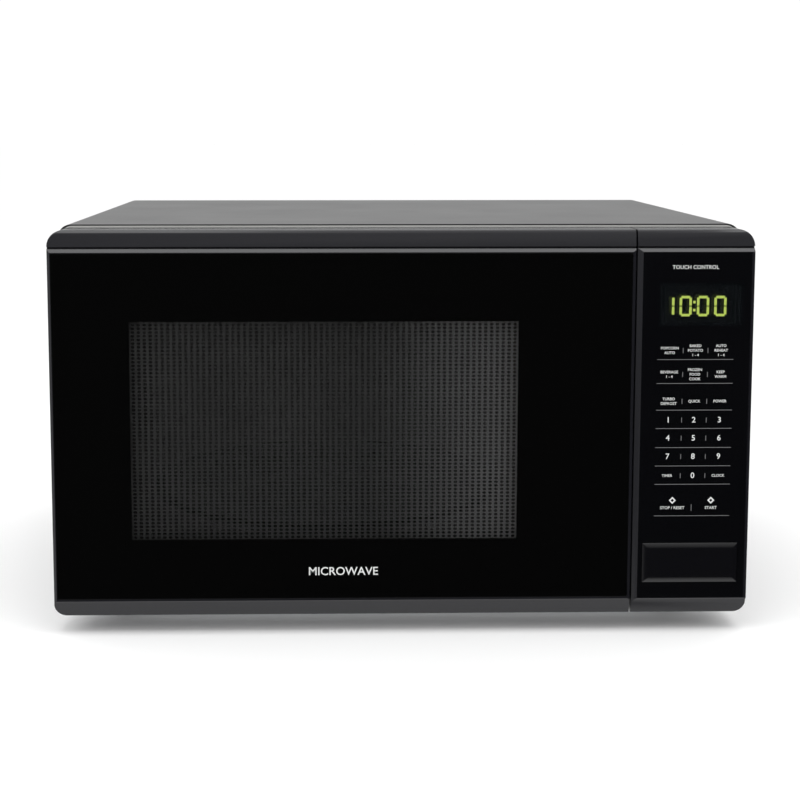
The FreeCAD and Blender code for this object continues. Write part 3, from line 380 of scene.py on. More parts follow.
def pick_faces(piece, test):
    """In edit mode: selects just the faces whose centre and normal pass a test."""
    bpy.ops.object.mode_set(mode="OBJECT")
    for part in (piece.data.vertices, piece.data.edges, piece.data.polygons):
        part.foreach_set("select", [False] * len(part))
    for polygon in piece.data.polygons:
        polygon.select = test(polygon.center, polygon.normal)
    bpy.ops.object.mode_set(mode="EDIT")
    bpy.ops.mesh.select_mode(type="FACE")


rubber = skinned("black_rubber", (0.016, 0.016, 0.016), 0.78, grain=2400, depth=0.3, drift=0.12, specular=0.3)
foot_low, foot_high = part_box("feet")
FOOT_TOP, FOOT_SOLE, FOOT_RISE = 11 * MM, 9 * MM, foot_high[2]
foot_spot = Vector((foot_low[0] + FOOT_TOP, foot_low[1] + FOOT_TOP, 0))
clear_selection()
bpy.ops.mesh.primitive_cone_add(vertices=40, radius1=FOOT_SOLE, radius2=FOOT_TOP, depth=FOOT_RISE,
                                location=foot_spot + Vector((0, 0, FOOT_RISE / 2)))
first_foot = settle(bpy.context.object)
first_foot.name = "foot_1"
bpy.ops.object.mode_set(mode="EDIT")
pick_faces(first_foot, lambda centre, normal: normal.z < -0.9)
bpy.ops.mesh.inset(thickness=1.6 * MM)
bpy.ops.mesh.inset(thickness=0.9 * MM)
bpy.ops.transform.translate(value=(0, 0, 0.8 * MM))
bpy.ops.mesh.inset(thickness=2.4 * MM)
bpy.ops.mesh.extrude_region_move(TRANSFORM_OT_translate={"value": (0, 0, 5 * MM)})
bpy.ops.object.mode_set(mode="OBJECT")
lip = first_foot.modifiers.new("lip", "BEVEL")
lip.width, lip.segments, lip.limit_method, lip.angle_limit = 0.5 * MM, 3, "ANGLE", math.radians(30)
bpy.ops.object.modifier_apply(modifier="lip")
smooth(first_foot)
dressed(first_foot, rubber)
FOOT_X, FOOT_Y = foot_high[0] - foot_low[0] - 2 * FOOT_TOP, foot_high[1] - foot_low[1] - 2 * FOOT_TOP
all_feet = [first_foot] + [copy_by(first_foot, f"foot_{n}", shift) for n, shift in
                           enumerate(((FOOT_X, 0, 0), (0, FOOT_Y, 0), (FOOT_X, FOOT_Y, 0)), 2)]
for foot in all_feet:
    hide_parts("feet")
    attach(foot, "housing")

# ---- Wall spacers and cord inlet ----
# Injection moulded black plastic: two cones that keep air behind the cover, and a grommet snapped
# into the rear panel where the mains cord enters.
moulded_black = skinned("moulded_black_plastic", (0.02, 0.02, 0.02), 0.5, grain=1300, depth=0.16, drift=0.08)
spacers = dressed(rounded_copy("rear_spacers", "wall_spacers", 0.6 * MM, steps=3), moulded_black)
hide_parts("wall_spacers")
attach(spacers, "housing")
finish_nodes(moulded_black, "cord_gland")

# ---- Cover screws ----
# Zinc plated self-tapping screws with a pan head and a cross recess, driven through the cover's
# rear return into the rear panel: three each side and two along the top.
bright_zinc = plated("bright_zinc_plate", (0.66, 0.66, 0.64), 0.24, crystals=900, contrast=0.12, metallic=1.0)
HEAD_RADIUS, HEAD_TIP, HEAD_HEIGHT, SHANK_RADIUS, SHANK = 3.6 * MM, 2.3 * MM, 2 * MM, 1.75 * MM, 6 * MM
screw_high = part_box("cover_screws")[1]
screw_front = screw_high[1] - HEAD_HEIGHT
clear_selection()
bpy.ops.mesh.primitive_cylinder_add(vertices=28, radius=HEAD_RADIUS, depth=0.8 * MM,
                                    location=(0, screw_front + 0.4 * MM, 0), rotation=(math.pi / 2, 0, 0))
first_screw = settle(bpy.context.object)
first_screw.name = "cover_screw_1"
bpy.ops.object.mode_set(mode="EDIT")
pick_faces(first_screw, lambda centre, normal: normal.y > 0.9)
bpy.ops.mesh.extrude_region_move(TRANSFORM_OT_translate={"value": (0, 0.8 * MM, 0)})
bpy.ops.transform.resize(value=(0.86, 1, 0.86))
bpy.ops.mesh.extrude_region_move(TRANSFORM_OT_translate={"value": (0, 0.4 * MM, 0)})
bpy.ops.transform.resize(value=(HEAD_TIP / (HEAD_RADIUS * 0.86), 1, HEAD_TIP / (HEAD_RADIUS * 0.86)))
pick_faces(first_screw, lambda centre, normal: normal.y < -0.9)
bpy.ops.mesh.inset(thickness=HEAD_RADIUS - SHANK_RADIUS)
bpy.ops.mesh.extrude_region_move(TRANSFORM_OT_translate={"value": (0, -SHANK + 1 * MM, 0)})
bpy.ops.mesh.extrude_region_move(TRANSFORM_OT_translate={"value": (0, -1 * MM, 0)})
bpy.ops.transform.resize(value=(0.4, 1, 0.4))
bpy.ops.object.mode_set(mode="OBJECT")
for turn in (0, math.pi / 2):
    clear_selection()
    bpy.ops.mesh.primitive_cube_add(size=1, location=(0, screw_high[1], 0), rotation=(0, turn, 0))
    blade = bpy.context.object
    blade.scale = (0.75 * MM, 2.4 * MM, 3.9 * MM)
    settle(blade)
    take(first_screw)
    slot_cut = first_screw.modifiers.new("cross", "BOOLEAN")
    slot_cut.object, slot_cut.operation, slot_cut.solver = blade, "DIFFERENCE", "EXACT"
    bpy.ops.object.modifier_apply(modifier="cross")
    bpy.data.objects.remove(blade)
smooth(first_screw, 40)
dressed(first_screw, bright_zinc)
side_x, top_x, top_z = screw_high[0] - HEAD_RADIUS, 118.1 * MM, screw_high[2] - HEAD_RADIUS
spots = [(sign * side_x, z) for sign in (-1, 1) for z in (45 * MM, 155 * MM, 275 * MM)]
spots += [(sign * top_x, top_z) for sign in (-1, 1)]
all_screws = [copy_by(first_screw, f"cover_screw_{n}", (x, 0, z)) for n, (x, z) in enumerate(spots[1:], 2)]
first_screw.location = (spots[0][0], 0, spots[0][1])
all_screws.append(settle(first_screw))
for screw in all_screws:
    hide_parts("cover_screws")
    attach(screw, "housing")

# ---- Oven cavity and front plate ----
# Steel box welded behind the front plate, sprayed together with a pale grey enamel that has a slight
# orange peel. Its floor is dished for the roller ring.
enamel = skinned("pale_grey_enamel", (0.52, 0.52, 0.5), 0.3, grain=420, depth=0.12, drift=0.06, coat=0.2)
finish_nodes(enamel, "front_plate", "cavity_wrapper", "cavity_floor", "cavity_back")


# ---- Turntable drive and roller ring ----
# A small synchronous motor under the floor turns a white acetal coupler. The ring and its three
# wheels are the same plastic and run in the dish of the floor.
acetal = skinned("white_acetal", (0.72, 0.72, 0.69), 0.42, grain=1100, depth=0.06, drift=0.05)
finish_nodes(acetal, "drive_coupler", "roller_ring", "roller_wheel_1", "roller_wheel_2", "roller_wheel_3")
motor_steel = plated("motor_can_steel", (0.6, 0.6, 0.61), 0.3, crystals=700, contrast=0.15)
finish_nodes(motor_steel, "turntable_motor")


# ---- Glass tray ----
# Pressed and toughened soda-lime glass with a raised rim, fire polished, with three lugs below
# that sit between the wings of the coupler.
def clear_glass(name, tint, roughness, alpha=1.0, ripple=0.05):
    """Glass or clear plastic with the faint ripple of a pressed or drawn sheet."""
    material, nodes, links, shader = new_material(name)
    shader.inputs["Transmission Weight"].default_value = 1.0 if alpha == 1 else 0.0
    shader.inputs["IOR"].default_value = 1.5
    shader.inputs["Alpha"].default_value = alpha
    wear(nodes, links, shader, skin_group, {"Color": (*tint, 1), "Roughness": roughness, "Depth": ripple,
                                            "Grain per metre": 60, "Drift": 0.02})
    return material


pressed_glass = clear_glass("pressed_tray_glass", (0.9, 0.97, 0.94), 0.03)
tray = dressed(rounded_copy("pressed_glass_tray", "glass_tray", 0.8 * MM, steps=3), pressed_glass)
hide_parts("glass_tray")
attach(tray, "tray")

# ---- Magnetron and waveguide ----
# A pressed zinc waveguide welded to the cavity, with the magnetron bolted to it: copper anode,
# stacked aluminium fins, two ferrite ring magnets in a steel yoke and a screened filter box.
finish_nodes(zinc_sheet, "waveguide", "magnetron_yoke", "magnetron_filter_box")
copper = plated("anode_copper", (0.6, 0.27, 0.15), 0.32, crystals=500, contrast=0.2, metallic=1.0)
finish_nodes(copper, "magnetron_anode")
fin_metal = plated("fin_aluminium", (0.72, 0.73, 0.74), 0.3, crystals=1200, contrast=0.1, metallic=1.0)
finish_nodes(fin_metal, "magnetron_fins", "capacitor")
finish_nodes(skinned("ferrite", (0.035, 0.035, 0.038), 0.6, grain=2600, depth=0.25, drift=0.15),
             "magnetron_magnets")
finish_nodes(skinned("white_ceramic", (0.72, 0.66, 0.62), 0.35, grain=900, depth=0.05, drift=0.05),
             "magnetron_antenna")
finish_nodes(skinned("mica_board", (0.42, 0.33, 0.2), 0.38, grain=520, depth=0.3, drift=0.35),
             "waveguide_cover")


# ---- Transformer and capacitor ----
# The core is stacked from varnished steel laminations welded along the edge, with windings of
# enamelled copper. The oil-filled capacitor is an aluminium can strapped to the base plate.
def two_colours(nodes, links, factor, a, b):
    """A mix of two colours or colour sockets."""
    mix = nodes.new("ShaderNodeMix")
    mix.data_type = "RGBA"
    links.new(factor, mix.inputs["Factor"])
    for socket, colour in (("A", a), ("B", b)):
        if isinstance(colour, bpy.types.NodeSocket):
            links.new(colour, mix.inputs[socket])
        else:
            mix.inputs[socket].default_value = (*colour, 1)
    return mix.outputs["Result"]


def layered(name, colour, dark, axis, pitch, roughness, metallic):
    """Thin layers, seen as fine lines across one axis."""
    material, nodes, links, shader = new_material(name)
    shader.inputs["Metallic"].default_value = metallic
    shader.inputs["Roughness"].default_value = roughness
    place = nodes.new("ShaderNodeTexCoord")
    layers = nodes.new("ShaderNodeTexWave")
    layers.bands_direction = axis
    layers.inputs["Scale"].default_value = 2 * math.pi / (20 * pitch)
    layers.inputs["Distortion"].default_value = 0.6
    layers.inputs["Detail"].default_value = 1
    links.new(place.outputs["Object"], layers.inputs["Vector"])
    links.new(two_colours(nodes, links, layers.outputs["Fac"], dark, colour), shader.inputs["Base Color"])
    links.new(relief(nodes, links, layers.outputs["Fac"], 0.5, 0.0003), shader.inputs["Normal"])
    return material


finish_nodes(layered("core_laminations", (0.2, 0.18, 0.17), (0.08, 0.07, 0.07), "Y", 1.0 * MM, 0.55, 0.6),
             "transformer_core")
finish_nodes(layered("enamelled_windings", (0.5, 0.2, 0.08), (0.2, 0.07, 0.03), "Z", 1.1 * MM, 0.3, 0.8),
             "transformer_windings")
finish_nodes(zinc_sheet, "capacitor_clamp")


# ---- Boards, diode and small parts ----
# Green solder mask over copper tracks on the two boards, with dark, blue and pale components
# soldered on one side. The diode, switches and cut-outs are moulded in dark resin.
COMPONENT_COLOURS = ((0, (0.02, 0.02, 0.022)), (0.45, (0.01, 0.03, 0.12)), (0.7, (0.35, 0.33, 0.3)),
                     (0.85, (0.22, 0.13, 0.04)))
SOLDER_MASK = {"Color1": (0.012, 0.09, 0.03, 1), "Color2": (0.018, 0.12, 0.045, 1),
               "Mortar": (0.05, 0.24, 0.08, 1), "Scale": 160, "Mortar Size": 0.07}


def board(name, axis, low, high):
    """Solder mask and tracks between two levels of an axis, components beyond them."""
    material, nodes, links, shader = new_material(name)
    shader.inputs["Roughness"].default_value = 0.36
    place = nodes.new("ShaderNodeTexCoord")
    spot = nodes.new("ShaderNodeSeparateXYZ")
    links.new(place.outputs["Object"], spot.inputs[0])
    tracks = nodes.new("ShaderNodeTexBrick")
    for label, value in SOLDER_MASK.items():
        tracks.inputs[label].default_value = value
    turned = nodes.new("ShaderNodeMapping")
    turned.inputs["Rotation"].default_value = (0 if axis == "Z" else math.pi / 2, 0, 0)
    links.new(place.outputs["Object"], turned.inputs["Vector"])
    links.new(turned.outputs[0], tracks.inputs["Vector"])
    kinds = nodes.new("ShaderNodeTexVoronoi")
    kinds.inputs["Scale"].default_value = 70
    links.new(place.outputs["Object"], kinds.inputs["Vector"])
    tone = nodes.new("ShaderNodeSeparateXYZ")
    links.new(kinds.outputs["Color"], tone.inputs[0])
    ramp = ramp_of(nodes, COMPONENT_COLOURS)
    ramp.color_ramp.interpolation = "CONSTANT"
    links.new(tone.outputs["X"], ramp.inputs[0])
    above = sum_node(nodes, links, "GREATER_THAN", spot.outputs[axis], high + 0.05 * MM)
    below = sum_node(nodes, links, "LESS_THAN", spot.outputs[axis], low - 0.05 * MM)
    either = sum_node(nodes, links, "MAXIMUM", above, below)
    links.new(two_colours(nodes, links, either, tracks.outputs["Color"], ramp.outputs["Color"]),
              shader.inputs["Base Color"])
    links.new(relief(nodes, links, tracks.outputs["Fac"], 0.3, 0.0001), shader.inputs["Normal"])
    return material


BOARD = 1.6 * MM
panel_board_y = -181 * MM
filter_board_z = 60 * MM
finish_nodes(board("control_board_mask", "Y", panel_board_y, panel_board_y + BOARD), "control_board")
finish_nodes(board("filter_board_mask", "Z", filter_board_z, filter_board_z + BOARD), "noise_filter_board")
dark_resin = skinned("dark_moulded_resin", (0.03, 0.03, 0.033), 0.46, grain=1200, depth=0.15, drift=0.12)
finish_nodes(dark_resin, "diode", "interlock_switches", "thermal_cutouts")
finish_nodes(layered("fan_motor_stack", (0.28, 0.27, 0.27), (0.1, 0.1, 0.1), "Y", 1.2 * MM, 0.45, 0.6),
             "fan_motor")

# ---- Cooling fan and oven lamp ----
# A glass-filled black shroud carries a shaded-pole motor and a five-bladed white impeller. The lamp
# is clear glass in a pale heat-proof socket on its own bracket.
finish_nodes(moulded_black, "fan_shroud")
finish_nodes(acetal, "fan_blade", "lamp_holder")
finish_nodes(clear_glass("lamp_glass", (0.98, 0.95, 0.88), 0.05), "oven_lamp")

# ---- Control panel frame ----
# Black moulding with the same top band, groove and chin as the door, screwed to the front plate.
# It has openings for the display and the release button.
gloss_black = skinned("gloss_black_moulding", (0.008, 0.008, 0.0105), 0.19, grain=700, depth=0.05, drift=0.05)
panel_moulding = dressed(rounded_copy("panel_moulding", "control_panel_frame", 0.35 * MM), gloss_black)
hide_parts("control_panel_frame")
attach(panel_moulding, "housing")

# ---- Keypad film ----
# Polyester film printed black on its back, with a faint texture, over the switch domes.
film = skinned("printed_polyester_film", (0.0012, 0.0013, 0.002), 0.22, grain=1800, depth=0.06, drift=0.03,
               specular=0.35)
finish_nodes(film, "keypad_membrane")

# ---- Keypad legends ----
# Pale ink on the film: thin rules between the rows, upright ticks between the keys, the ten digits
# and plain words for the other keys.
ink = skinned("pale_legend_ink", (0.62, 0.63, 0.62), 0.5, grain=2500, depth=0.05, drift=0.1)
grey_ink = skinned("grey_rule_ink", (0.13, 0.13, 0.135), 0.5, grain=2500, depth=0.05, drift=0.1)
INK = 0.04 * MM
film_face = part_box("keypad_membrane")[0][1]
KEY_COLUMNS = (200.1 * MM, 219.4 * MM, 238.7 * MM)


def printed_word(word, x, z, height):
    """Flat lettering centred on a spot of the film, as a closed mesh."""
    clear_selection()
    bpy.ops.object.text_add()
    text = bpy.context.object
    text.data.body = word
    text.data.align_x = text.data.align_y = "CENTER"
    text.data.size = height / 0.7
    text.data.extrude = INK
    text.data.offset = 0.012 * height
    text.data.resolution_u = 3
    text.location = (x, film_face - INK, z)
    text.rotation_euler = (math.pi / 2, 0, 0)
    bpy.ops.object.convert(target="MESH")
    return settle(bpy.context.object)


def printed_bar(x0, x1, z0, z1):
    """A rule or tick with softened ends."""
    clear_selection()
    bpy.ops.mesh.primitive_cube_add(size=1, location=((x0 + x1) / 2, film_face - INK, (z0 + z1) / 2))
    bar = bpy.context.object
    bar.scale = (x1 - x0, 2 * INK, z1 - z0)
    settle(bar)
    bpy.ops.object.mode_set(mode="EDIT")
    bpy.ops.mesh.select_all(action="SELECT")
    bpy.ops.mesh.bevel(offset=0.01 * MM, segments=1)
    bpy.ops.object.mode_set(mode="OBJECT")
    return bar


def joined(name, pieces):
    clear_selection()
    for piece in pieces:
        piece.select_set(True)
    bpy.context.view_layer.objects.active = pieces[0]
    bpy.ops.object.join()
    pieces[0].name = name
    return pieces[0]


RULE, TICK, TICK_REACH = 0.22, 0.25, 1.9
DIGIT_ROWS, ZERO_ROW = (164.7, 150.9, 136.8), 122.1
WORD_ROWS = ((217.5, ("POPCORN\nAUTO", "BAKED\nPOTATO\n1 - 4", "AUTO\nREHEAT\n1 - 4")),
             (199.4, ("BEVERAGE\n1 - 4", "FROZEN\nFOOD\nCOOK", "KEEP\nWARM")),
             (179, ("TURBO\nDEFROST", "QUICK", "POWER")), (ZERO_ROW, ("TIMER", "", "CLOCK")))
DIGIT_SIZE, WORD_SIZE, LINE_PITCH = 4.2 * MM, 2 * MM, 3.5 * MM
rules = []
for z in (210.7, 192.6, 172.3, 158.3, 143.7, 129.6, 115.5, 91.2):
    rules.append(printed_bar(190.8 * MM, 248 * MM, (z - RULE) * MM, (z + RULE) * MM))
for z in (217.5, 199.4, 179, *DIGIT_ROWS, ZERO_ROW):
    for x in (210.2, 228.8):
        rules.append(printed_bar((x - TICK) * MM, (x + TICK) * MM,
                                 (z - TICK_REACH) * MM, (z + TICK_REACH) * MM))
rules.append(printed_bar(218.75 * MM, 219.25 * MM, 95 * MM, 100 * MM))
legends = [printed_word("TOUCH CONTROL", 218.2 * MM, 280 * MM, 2.8 * MM)]
for row, z in enumerate(DIGIT_ROWS):
    for column, x in enumerate(KEY_COLUMNS):
        legends.append(printed_word(str(3 * row + column + 1), x, z * MM, DIGIT_SIZE))
legends.append(printed_word("0", KEY_COLUMNS[1], ZERO_ROW * MM, DIGIT_SIZE))
for z, words in WORD_ROWS:
    for x, word in zip(KEY_COLUMNS, words):
        for n, line in enumerate(word.split("\n") if word else ()):
            drop = (n - word.count("\n") / 2) * LINE_PITCH
            legends.append(printed_word(line, x, z * MM - drop, WORD_SIZE))
for word, x in (("STOP / RESET", 204.6 * MM), ("START", 233.8 * MM)):
    legends.append(printed_word(word, x, 97.3 * MM, 2.2 * MM))
    clear_selection()
    bpy.ops.mesh.primitive_cylinder_add(vertices=4, radius=2.7 * MM, depth=2 * INK,
                                        location=(x, film_face - INK, 103.1 * MM),
                                        rotation=(math.pi / 2, 0, 0))
    diamond = settle(bpy.context.object)
    bpy.ops.object.mode_set(mode="EDIT")
    pick_faces(diamond, lambda centre, normal: abs(normal.y) > 0.9)
    bpy.ops.mesh.inset(thickness=1.0 * MM)
    bpy.ops.mesh.bridge_edge_loops()
    bpy.ops.object.mode_set(mode="OBJECT")
    legends.append(diamond)
for legend_print in (dressed(joined("keypad_legends", legends), ink),
                     dressed(joined("keypad_rules", rules), grey_ink)):
    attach(legend_print, "housing")

# ---- Display ----
# A vacuum fluorescent clock on the control board, behind a smoked acrylic window. Its segments glow
# yellow-green.
smoked = clear_glass("smoked_acrylic", (0.004, 0.005, 0.006), 0.12, alpha=0.62, ripple=0.02)
finish_nodes(smoked, "display_window")
finish_nodes(skinned("display_glass_black", (0.004, 0.004, 0.005), 0.3, depth=0.02), "display_module")
glow = skinned("fluorescent_segments", (0.5, 0.6, 0.1), 0.5, grain=1500, depth=0.02)
glow_shader = glow.node_tree.nodes["Principled BSDF"]
glow_shader.inputs["Emission Color"].default_value = (0.8, 1.0, 0.2, 1)
glow_shader.inputs["Emission Strength"].default_value = 3.6
segment_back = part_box("display_window")[1][1] + 0.45 * MM
DIGIT_WIDTH, DIGIT_HEIGHT, STROKE = 9.2 * MM, 15.4 * MM, 1.9 * MM
CLOCK_Z = 250.8 * MM


def segment(x, z, width, height):
    """One bar of a digit, its ends cut to blunt points."""
    clear_selection()
    bpy.ops.mesh.primitive_cube_add(size=1, location=(x, segment_back - 0.2 * MM, z))
    bar = bpy.context.object
    bar.scale = (width, 0.3 * MM, height)
    settle(bar)
    bpy.ops.object.mode_set(mode="EDIT")
    bpy.ops.mesh.select_all(action="SELECT")
    bpy.ops.mesh.bevel(offset=0.14 * MM, segments=1)
    bpy.ops.object.mode_set(mode="OBJECT")
    return bar


half_w, half_h = (DIGIT_WIDTH - STROKE) / 2, (DIGIT_HEIGHT - STROKE) / 2
ACROSS, UP = DIGIT_WIDTH - STROKE - 0.8 * MM, (DIGIT_HEIGHT - STROKE) / 2 - 0.8 * MM
lit = []
ONE, ZERO = "rR", "trRblL"
for x, strokes in ((198.6 * MM, ONE), (211.6 * MM, ZERO), (224.6 * MM, ZERO), (237.6 * MM, ZERO)):
    shapes = {"t": (0, half_h, ACROSS, STROKE), "b": (0, -half_h, ACROSS, STROKE),
              "r": (half_w, half_h / 2, STROKE, UP), "R": (half_w, -half_h / 2, STROKE, UP),
              "l": (-half_w, -half_h / 2, STROKE, UP), "L": (-half_w, half_h / 2, STROKE, UP)}
    lit += [segment(x + shapes[s][0], CLOCK_Z + shapes[s][1], *shapes[s][2:]) for s in strokes]
lit += [segment(218.1 * MM, CLOCK_Z + way * 3 * MM, STROKE, STROKE) for way in (-1, 1)]
clock = dressed(joined("clock_segments", lit), glow)
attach(clock, "housing")

# ---- Release button ----
# Gloss black cap with four sloping edges, moulded in one with its stem and its retaining flange.
button_black = skinned("button_black_plastic", (0.003, 0.003, 0.004), 0.16, grain=700, depth=0.04, drift=0.04)
button = dressed(rounded_copy("button_cap", "release_button", 0.25 * MM), button_black)
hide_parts("release_button")
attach(button, "button")

# ---- Button spring ----
# Spring steel wire coiled on a slim boss of the button, pressing on the front plate.
spring_steel = plated("spring_wire_steel", (0.5, 0.5, 0.5), 0.25, crystals=1500, contrast=0.12, metallic=1.0)
finish_nodes(spring_steel, "latch_spring")
COIL_RADIUS, WIRE_RADIUS, TURNS = 3.6 * MM, 0.55 * MM, 6
coil_low, coil_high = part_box("button_spring")
coil_length = coil_high[1] - coil_low[1] - 2.2 * WIRE_RADIUS
clear_selection()
bpy.ops.mesh.primitive_circle_add(vertices=10, radius=WIRE_RADIUS, location=(COIL_RADIUS, 0, 0),
                                  rotation=(math.pi / 2, 0, 0))
wire = settle(bpy.context.object)
wire.name = "button_spring_wire"
winding = wire.modifiers.new("winding", "SCREW")
winding.axis, winding.screw_offset, winding.iterations = "Z", coil_length / TURNS, TURNS
winding.steps = winding.render_steps = 28
bpy.ops.object.modifier_apply(modifier="winding")
bpy.ops.object.mode_set(mode="EDIT")
bpy.ops.mesh.select_all(action="SELECT")
bpy.ops.mesh.remove_doubles(threshold=0.00001)
bpy.ops.mesh.select_all(action="DESELECT")
bpy.ops.mesh.select_mode(type="EDGE")
bpy.ops.mesh.select_non_manifold()
bpy.ops.mesh.fill_holes(sides=0)
bpy.ops.mesh.select_all(action="SELECT")
bpy.ops.mesh.normals_make_consistent(inside=False)
bpy.ops.object.mode_set(mode="OBJECT")
wire.rotation_euler = (-math.pi / 2, 0, 0)
wire.location = ((coil_low[0] + coil_high[0]) / 2, coil_low[1] + 1.1 * WIRE_RADIUS,
                 (coil_low[2] + coil_high[2]) / 2)
settle(wire)
smooth(dressed(wire, spring_steel), 60)
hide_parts("button_spring")
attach(wire, "housing")
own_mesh(wire)

# ---- Latch ----
# The lever, plunger and hooks are black acetal, and the latch body behind the front plate is white.
finish_nodes(moulded_black, "release_lever", "switch_plunger", "latch_hooks")
finish_nodes(acetal, "latch_body")

# ---- Hinges ----
# Two pressed steel plates with riveted pins, which turn in acetal bushes set in the door.
finish_nodes(zinc_sheet, "upper_hinge", "lower_hinge")
finish_nodes(moulded_black, "hinge_bushes")

# ---- Door frame ----
# Injection moulded black plastic, one moulding behind the front panel, with a raked top band,
# a groove under it and a sloping chin. Its slots take the hinge tongues.
door_moulding = dressed(rounded_copy("door_moulding", "door_frame", 0.35 * MM), gloss_black)
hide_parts("door_frame")
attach(door_moulding, "door")

# ---- Door pan and screen ----
# The pan is a pressed steel tray inside the frame. Over its opening a thin sheet, pierced with four
# thousand holes in upright rows and sprayed grey, is spot welded; it keeps the microwaves in.
finish_nodes(zinc_sheet, "door_pan")
reflection_painted_screen_paint = skinned("grey_screen_painted_reflection", (0.2, 0.2, 0.2), 0.5, depth=0.2, drift=0.2)
paint_nodes, paint_links = reflection_painted_screen_paint.node_tree.nodes, reflection_painted_screen_paint.node_tree.links
# The screen's grey is painted lighter towards the right, from x = -30 mm to 90 mm: a painted reflection, not
# the paint's own colour.
spot = paint_nodes.new("ShaderNodeTexCoord")
across = paint_nodes.new("ShaderNodeSeparateXYZ")
paint_links.new(spot.outputs["Object"], across.inputs[0])
painted_reflection_ramp = paint_nodes.new("ShaderNodeMapRange")
painted_reflection_ramp.interpolation_type = "SMOOTHSTEP"
for socket, value in (("From Min", -30 * MM), ("From Max", 90 * MM), ("To Min", 0.19), ("To Max", 0.5)):
    painted_reflection_ramp.inputs[socket].default_value = value
paint_links.new(across.outputs["X"], painted_reflection_ramp.inputs["Value"])
paint_links.new(painted_reflection_ramp.outputs[0], paint_nodes["Group"].inputs["Color"])
screen_low, screen_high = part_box("door_screen")
SCREEN_WIDTH, SCREEN_HEIGHT = screen_high[0] - screen_low[0], screen_high[2] - screen_low[2]
PITCH_X, PITCH_Z, HOLE_COLUMNS, HOLE_ROWS = 4.4 * MM, 2.8 * MM, 66, 60
HOLE_X, HOLE_Z, WEB = 1.45 * MM, 1.05 * MM, 0.6 * MM


def pick_points(piece, test):
    """In edit mode: selects just the points whose place passes a test."""
    bpy.ops.object.mode_set(mode="OBJECT")
    for part in (piece.data.vertices, piece.data.edges, piece.data.polygons):
        part.foreach_set("select", [False] * len(part))
    for point in piece.data.vertices:
        point.select = test(point.co)
    bpy.ops.object.mode_set(mode="EDIT")
    bpy.ops.mesh.select_mode(type="VERT")


clear_selection()
bpy.ops.mesh.primitive_plane_add(size=1)
screen = bpy.context.object
screen.name = "pierced_screen"
screen.scale = (PITCH_X, PITCH_Z, 1)
settle(screen)
bpy.ops.object.mode_set(mode="EDIT")
bpy.ops.mesh.select_all(action="SELECT")
bpy.ops.mesh.subdivide(number_cuts=1)
bpy.ops.mesh.inset(thickness=WEB)
bpy.ops.transform.resize(value=(HOLE_X / (PITCH_X / 2 - WEB), HOLE_Z / (PITCH_Z / 2 - WEB), 1))
pick_points(screen, lambda co: 0.9 * HOLE_X < abs(co.x) < 1.1 * HOLE_X
            and 0.9 * HOLE_Z < abs(co.y) < 1.1 * HOLE_Z)
bpy.ops.transform.resize(value=(0.72, 0.72, 1))
pick_faces(screen, lambda centre, normal: abs(centre.x) < 0.6 * HOLE_X and abs(centre.y) < 0.6 * HOLE_Z)
bpy.ops.mesh.delete(type="FACE")
bpy.ops.object.mode_set(mode="OBJECT")
for name, step, count in (("columns", (PITCH_X, 0, 0), HOLE_COLUMNS), ("rows", (0, PITCH_Z, 0), HOLE_ROWS)):
    repeat = screen.modifiers.new(name, "ARRAY")
    repeat.use_relative_offset, repeat.use_constant_offset = False, True
    repeat.constant_offset_displace, repeat.count = step, count
    repeat.use_merge_vertices, repeat.merge_threshold = True, 0.01 * MM
    bpy.ops.object.modifier_apply(modifier=name)
field_x, field_z = PITCH_X * HOLE_COLUMNS, PITCH_Z * HOLE_ROWS
screen.location = ((PITCH_X - field_x) / 2, (PITCH_Z - field_z) / 2, 0)
settle(screen)
bpy.ops.object.mode_set(mode="EDIT")
pick_points(screen, lambda co: abs(co.x) > field_x / 2 - 0.01 * MM or abs(co.y) > field_z / 2 - 0.01 * MM)
bpy.ops.mesh.select_mode(type="EDGE")
bpy.ops.mesh.extrude_edges_move()
bpy.ops.transform.resize(value=(SCREEN_WIDTH / field_x, SCREEN_HEIGHT / field_z, 1))
bpy.ops.mesh.select_all(action="SELECT")
bpy.ops.mesh.remove_doubles(threshold=0.01 * MM)
bpy.ops.mesh.normals_make_consistent(inside=False)
bpy.ops.object.mode_set(mode="OBJECT")
wall = screen.modifiers.new("sheet", "SOLIDIFY")
wall.thickness, wall.offset = screen_high[1] - screen_low[1], 0
bpy.ops.object.modifier_apply(modifier="sheet")
screen.rotation_euler = (math.pi / 2, 0, 0)
screen.location = [(a + b) / 2 for a, b in zip(screen_low, screen_high)]
dressed(settle(screen), reflection_painted_screen_paint)
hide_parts("door_screen")
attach(screen, "door")

# ---- Inner window and choke cover ----
# A clear polyester sheet keeps steam off the screen, and a black moulding round it hides the choke
# that seals the door's edge against microwaves.
finish_nodes(clear_glass("clear_polyester", (0.75, 0.78, 0.77), 0.12, alpha=0.16), "inner_window")
finish_nodes(moulded_black, "choke_cover")

# ---- Door front panel ----
# Clear panel printed black on its back, except for the window, which is left smoked. The print
# hides the frame and the edge of the screen.
glass_low, glass_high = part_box("door_front_panel")
WINDOW = (-203 * MM, 87 * MM, 74 * MM, 240 * MM)


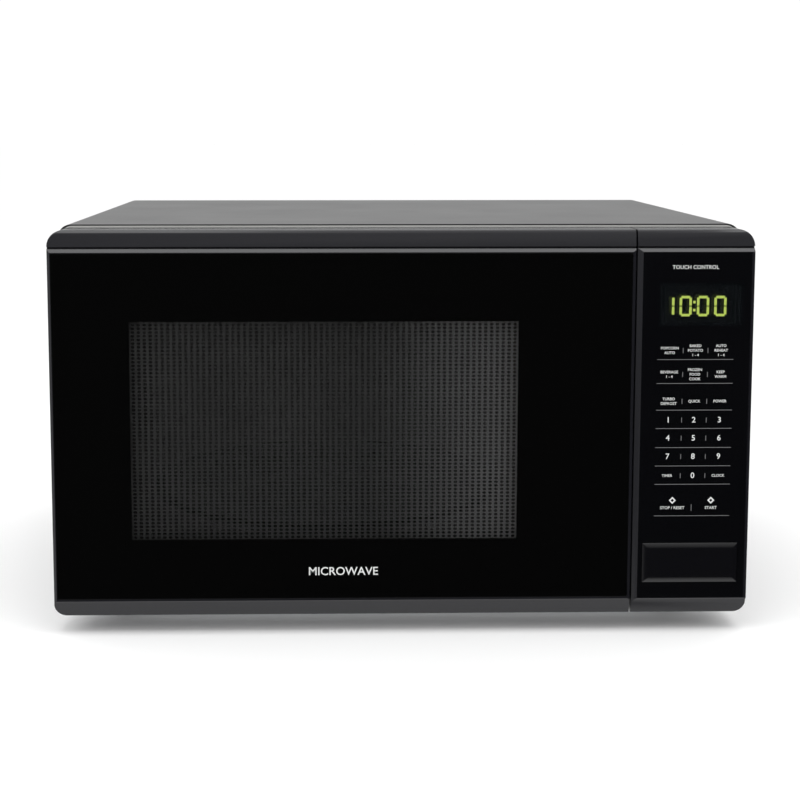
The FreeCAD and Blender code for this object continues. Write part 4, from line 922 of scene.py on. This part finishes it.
def slab(name, low, high, edge):
    """A plain sheet with its edges eased."""
    clear_selection()
    bpy.ops.mesh.primitive_cube_add(size=1, location=[(a + b) / 2 for a, b in zip(low, high)])
    sheet = bpy.context.object
    sheet.name = name
    sheet.scale = [b - a for a, b in zip(low, high)]
    settle(sheet)
    bpy.ops.object.mode_set(mode="EDIT")
    bpy.ops.mesh.select_all(action="SELECT")
    bpy.ops.mesh.bevel(offset=edge, segments=2)
    return sheet


printed = skinned("black_printed_panel", (0.0012, 0.0012, 0.0012), 0.05, grain=60, depth=0.02, drift=0.02)
print_ring = slab("door_black_print", glass_low, glass_high, 0.3 * MM)
for co, no in (((WINDOW[0], 0, 0), (1, 0, 0)), ((WINDOW[1], 0, 0), (1, 0, 0)),
               ((0, 0, WINDOW[2]), (0, 0, 1)), ((0, 0, WINDOW[3]), (0, 0, 1))):
    bpy.ops.mesh.select_all(action="SELECT")
    bpy.ops.mesh.bisect(plane_co=co, plane_no=no)
pick_faces(print_ring, lambda centre, normal: abs(normal.y) > 0.9 and WINDOW[0] < centre.x < WINDOW[1]
           and WINDOW[2] < centre.z < WINDOW[3])
bpy.ops.mesh.bridge_edge_loops()
bpy.ops.object.mode_set(mode="OBJECT")
smooth(dressed(print_ring, printed))
smoked_panel = clear_glass("smoked_door_window", (0.002, 0.002, 0.002), 0.05, alpha=0.45, ripple=0.02)
PANE_GAP = 0.02 * MM
pane = slab("door_smoked_pane", (WINDOW[0] + PANE_GAP, glass_low[1], WINDOW[2] + PANE_GAP),
            (WINDOW[1] - PANE_GAP, glass_high[1], WINDOW[3] - PANE_GAP), 0.01 * MM)
bpy.ops.object.mode_set(mode="OBJECT")
dressed(pane, smoked_panel)
for sheet in (print_ring, pane):
    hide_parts("door_front_panel")
    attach(sheet, "door")

# ---- Door mark ----
# A plain word in capitals, printed in pale ink below the window.
door_word = dressed(printed_word("MICROWAVE", -44 * MM, 49.4 * MM, 6.2 * MM), ink)
door_word.name = "door_word"
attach(door_word, "door")
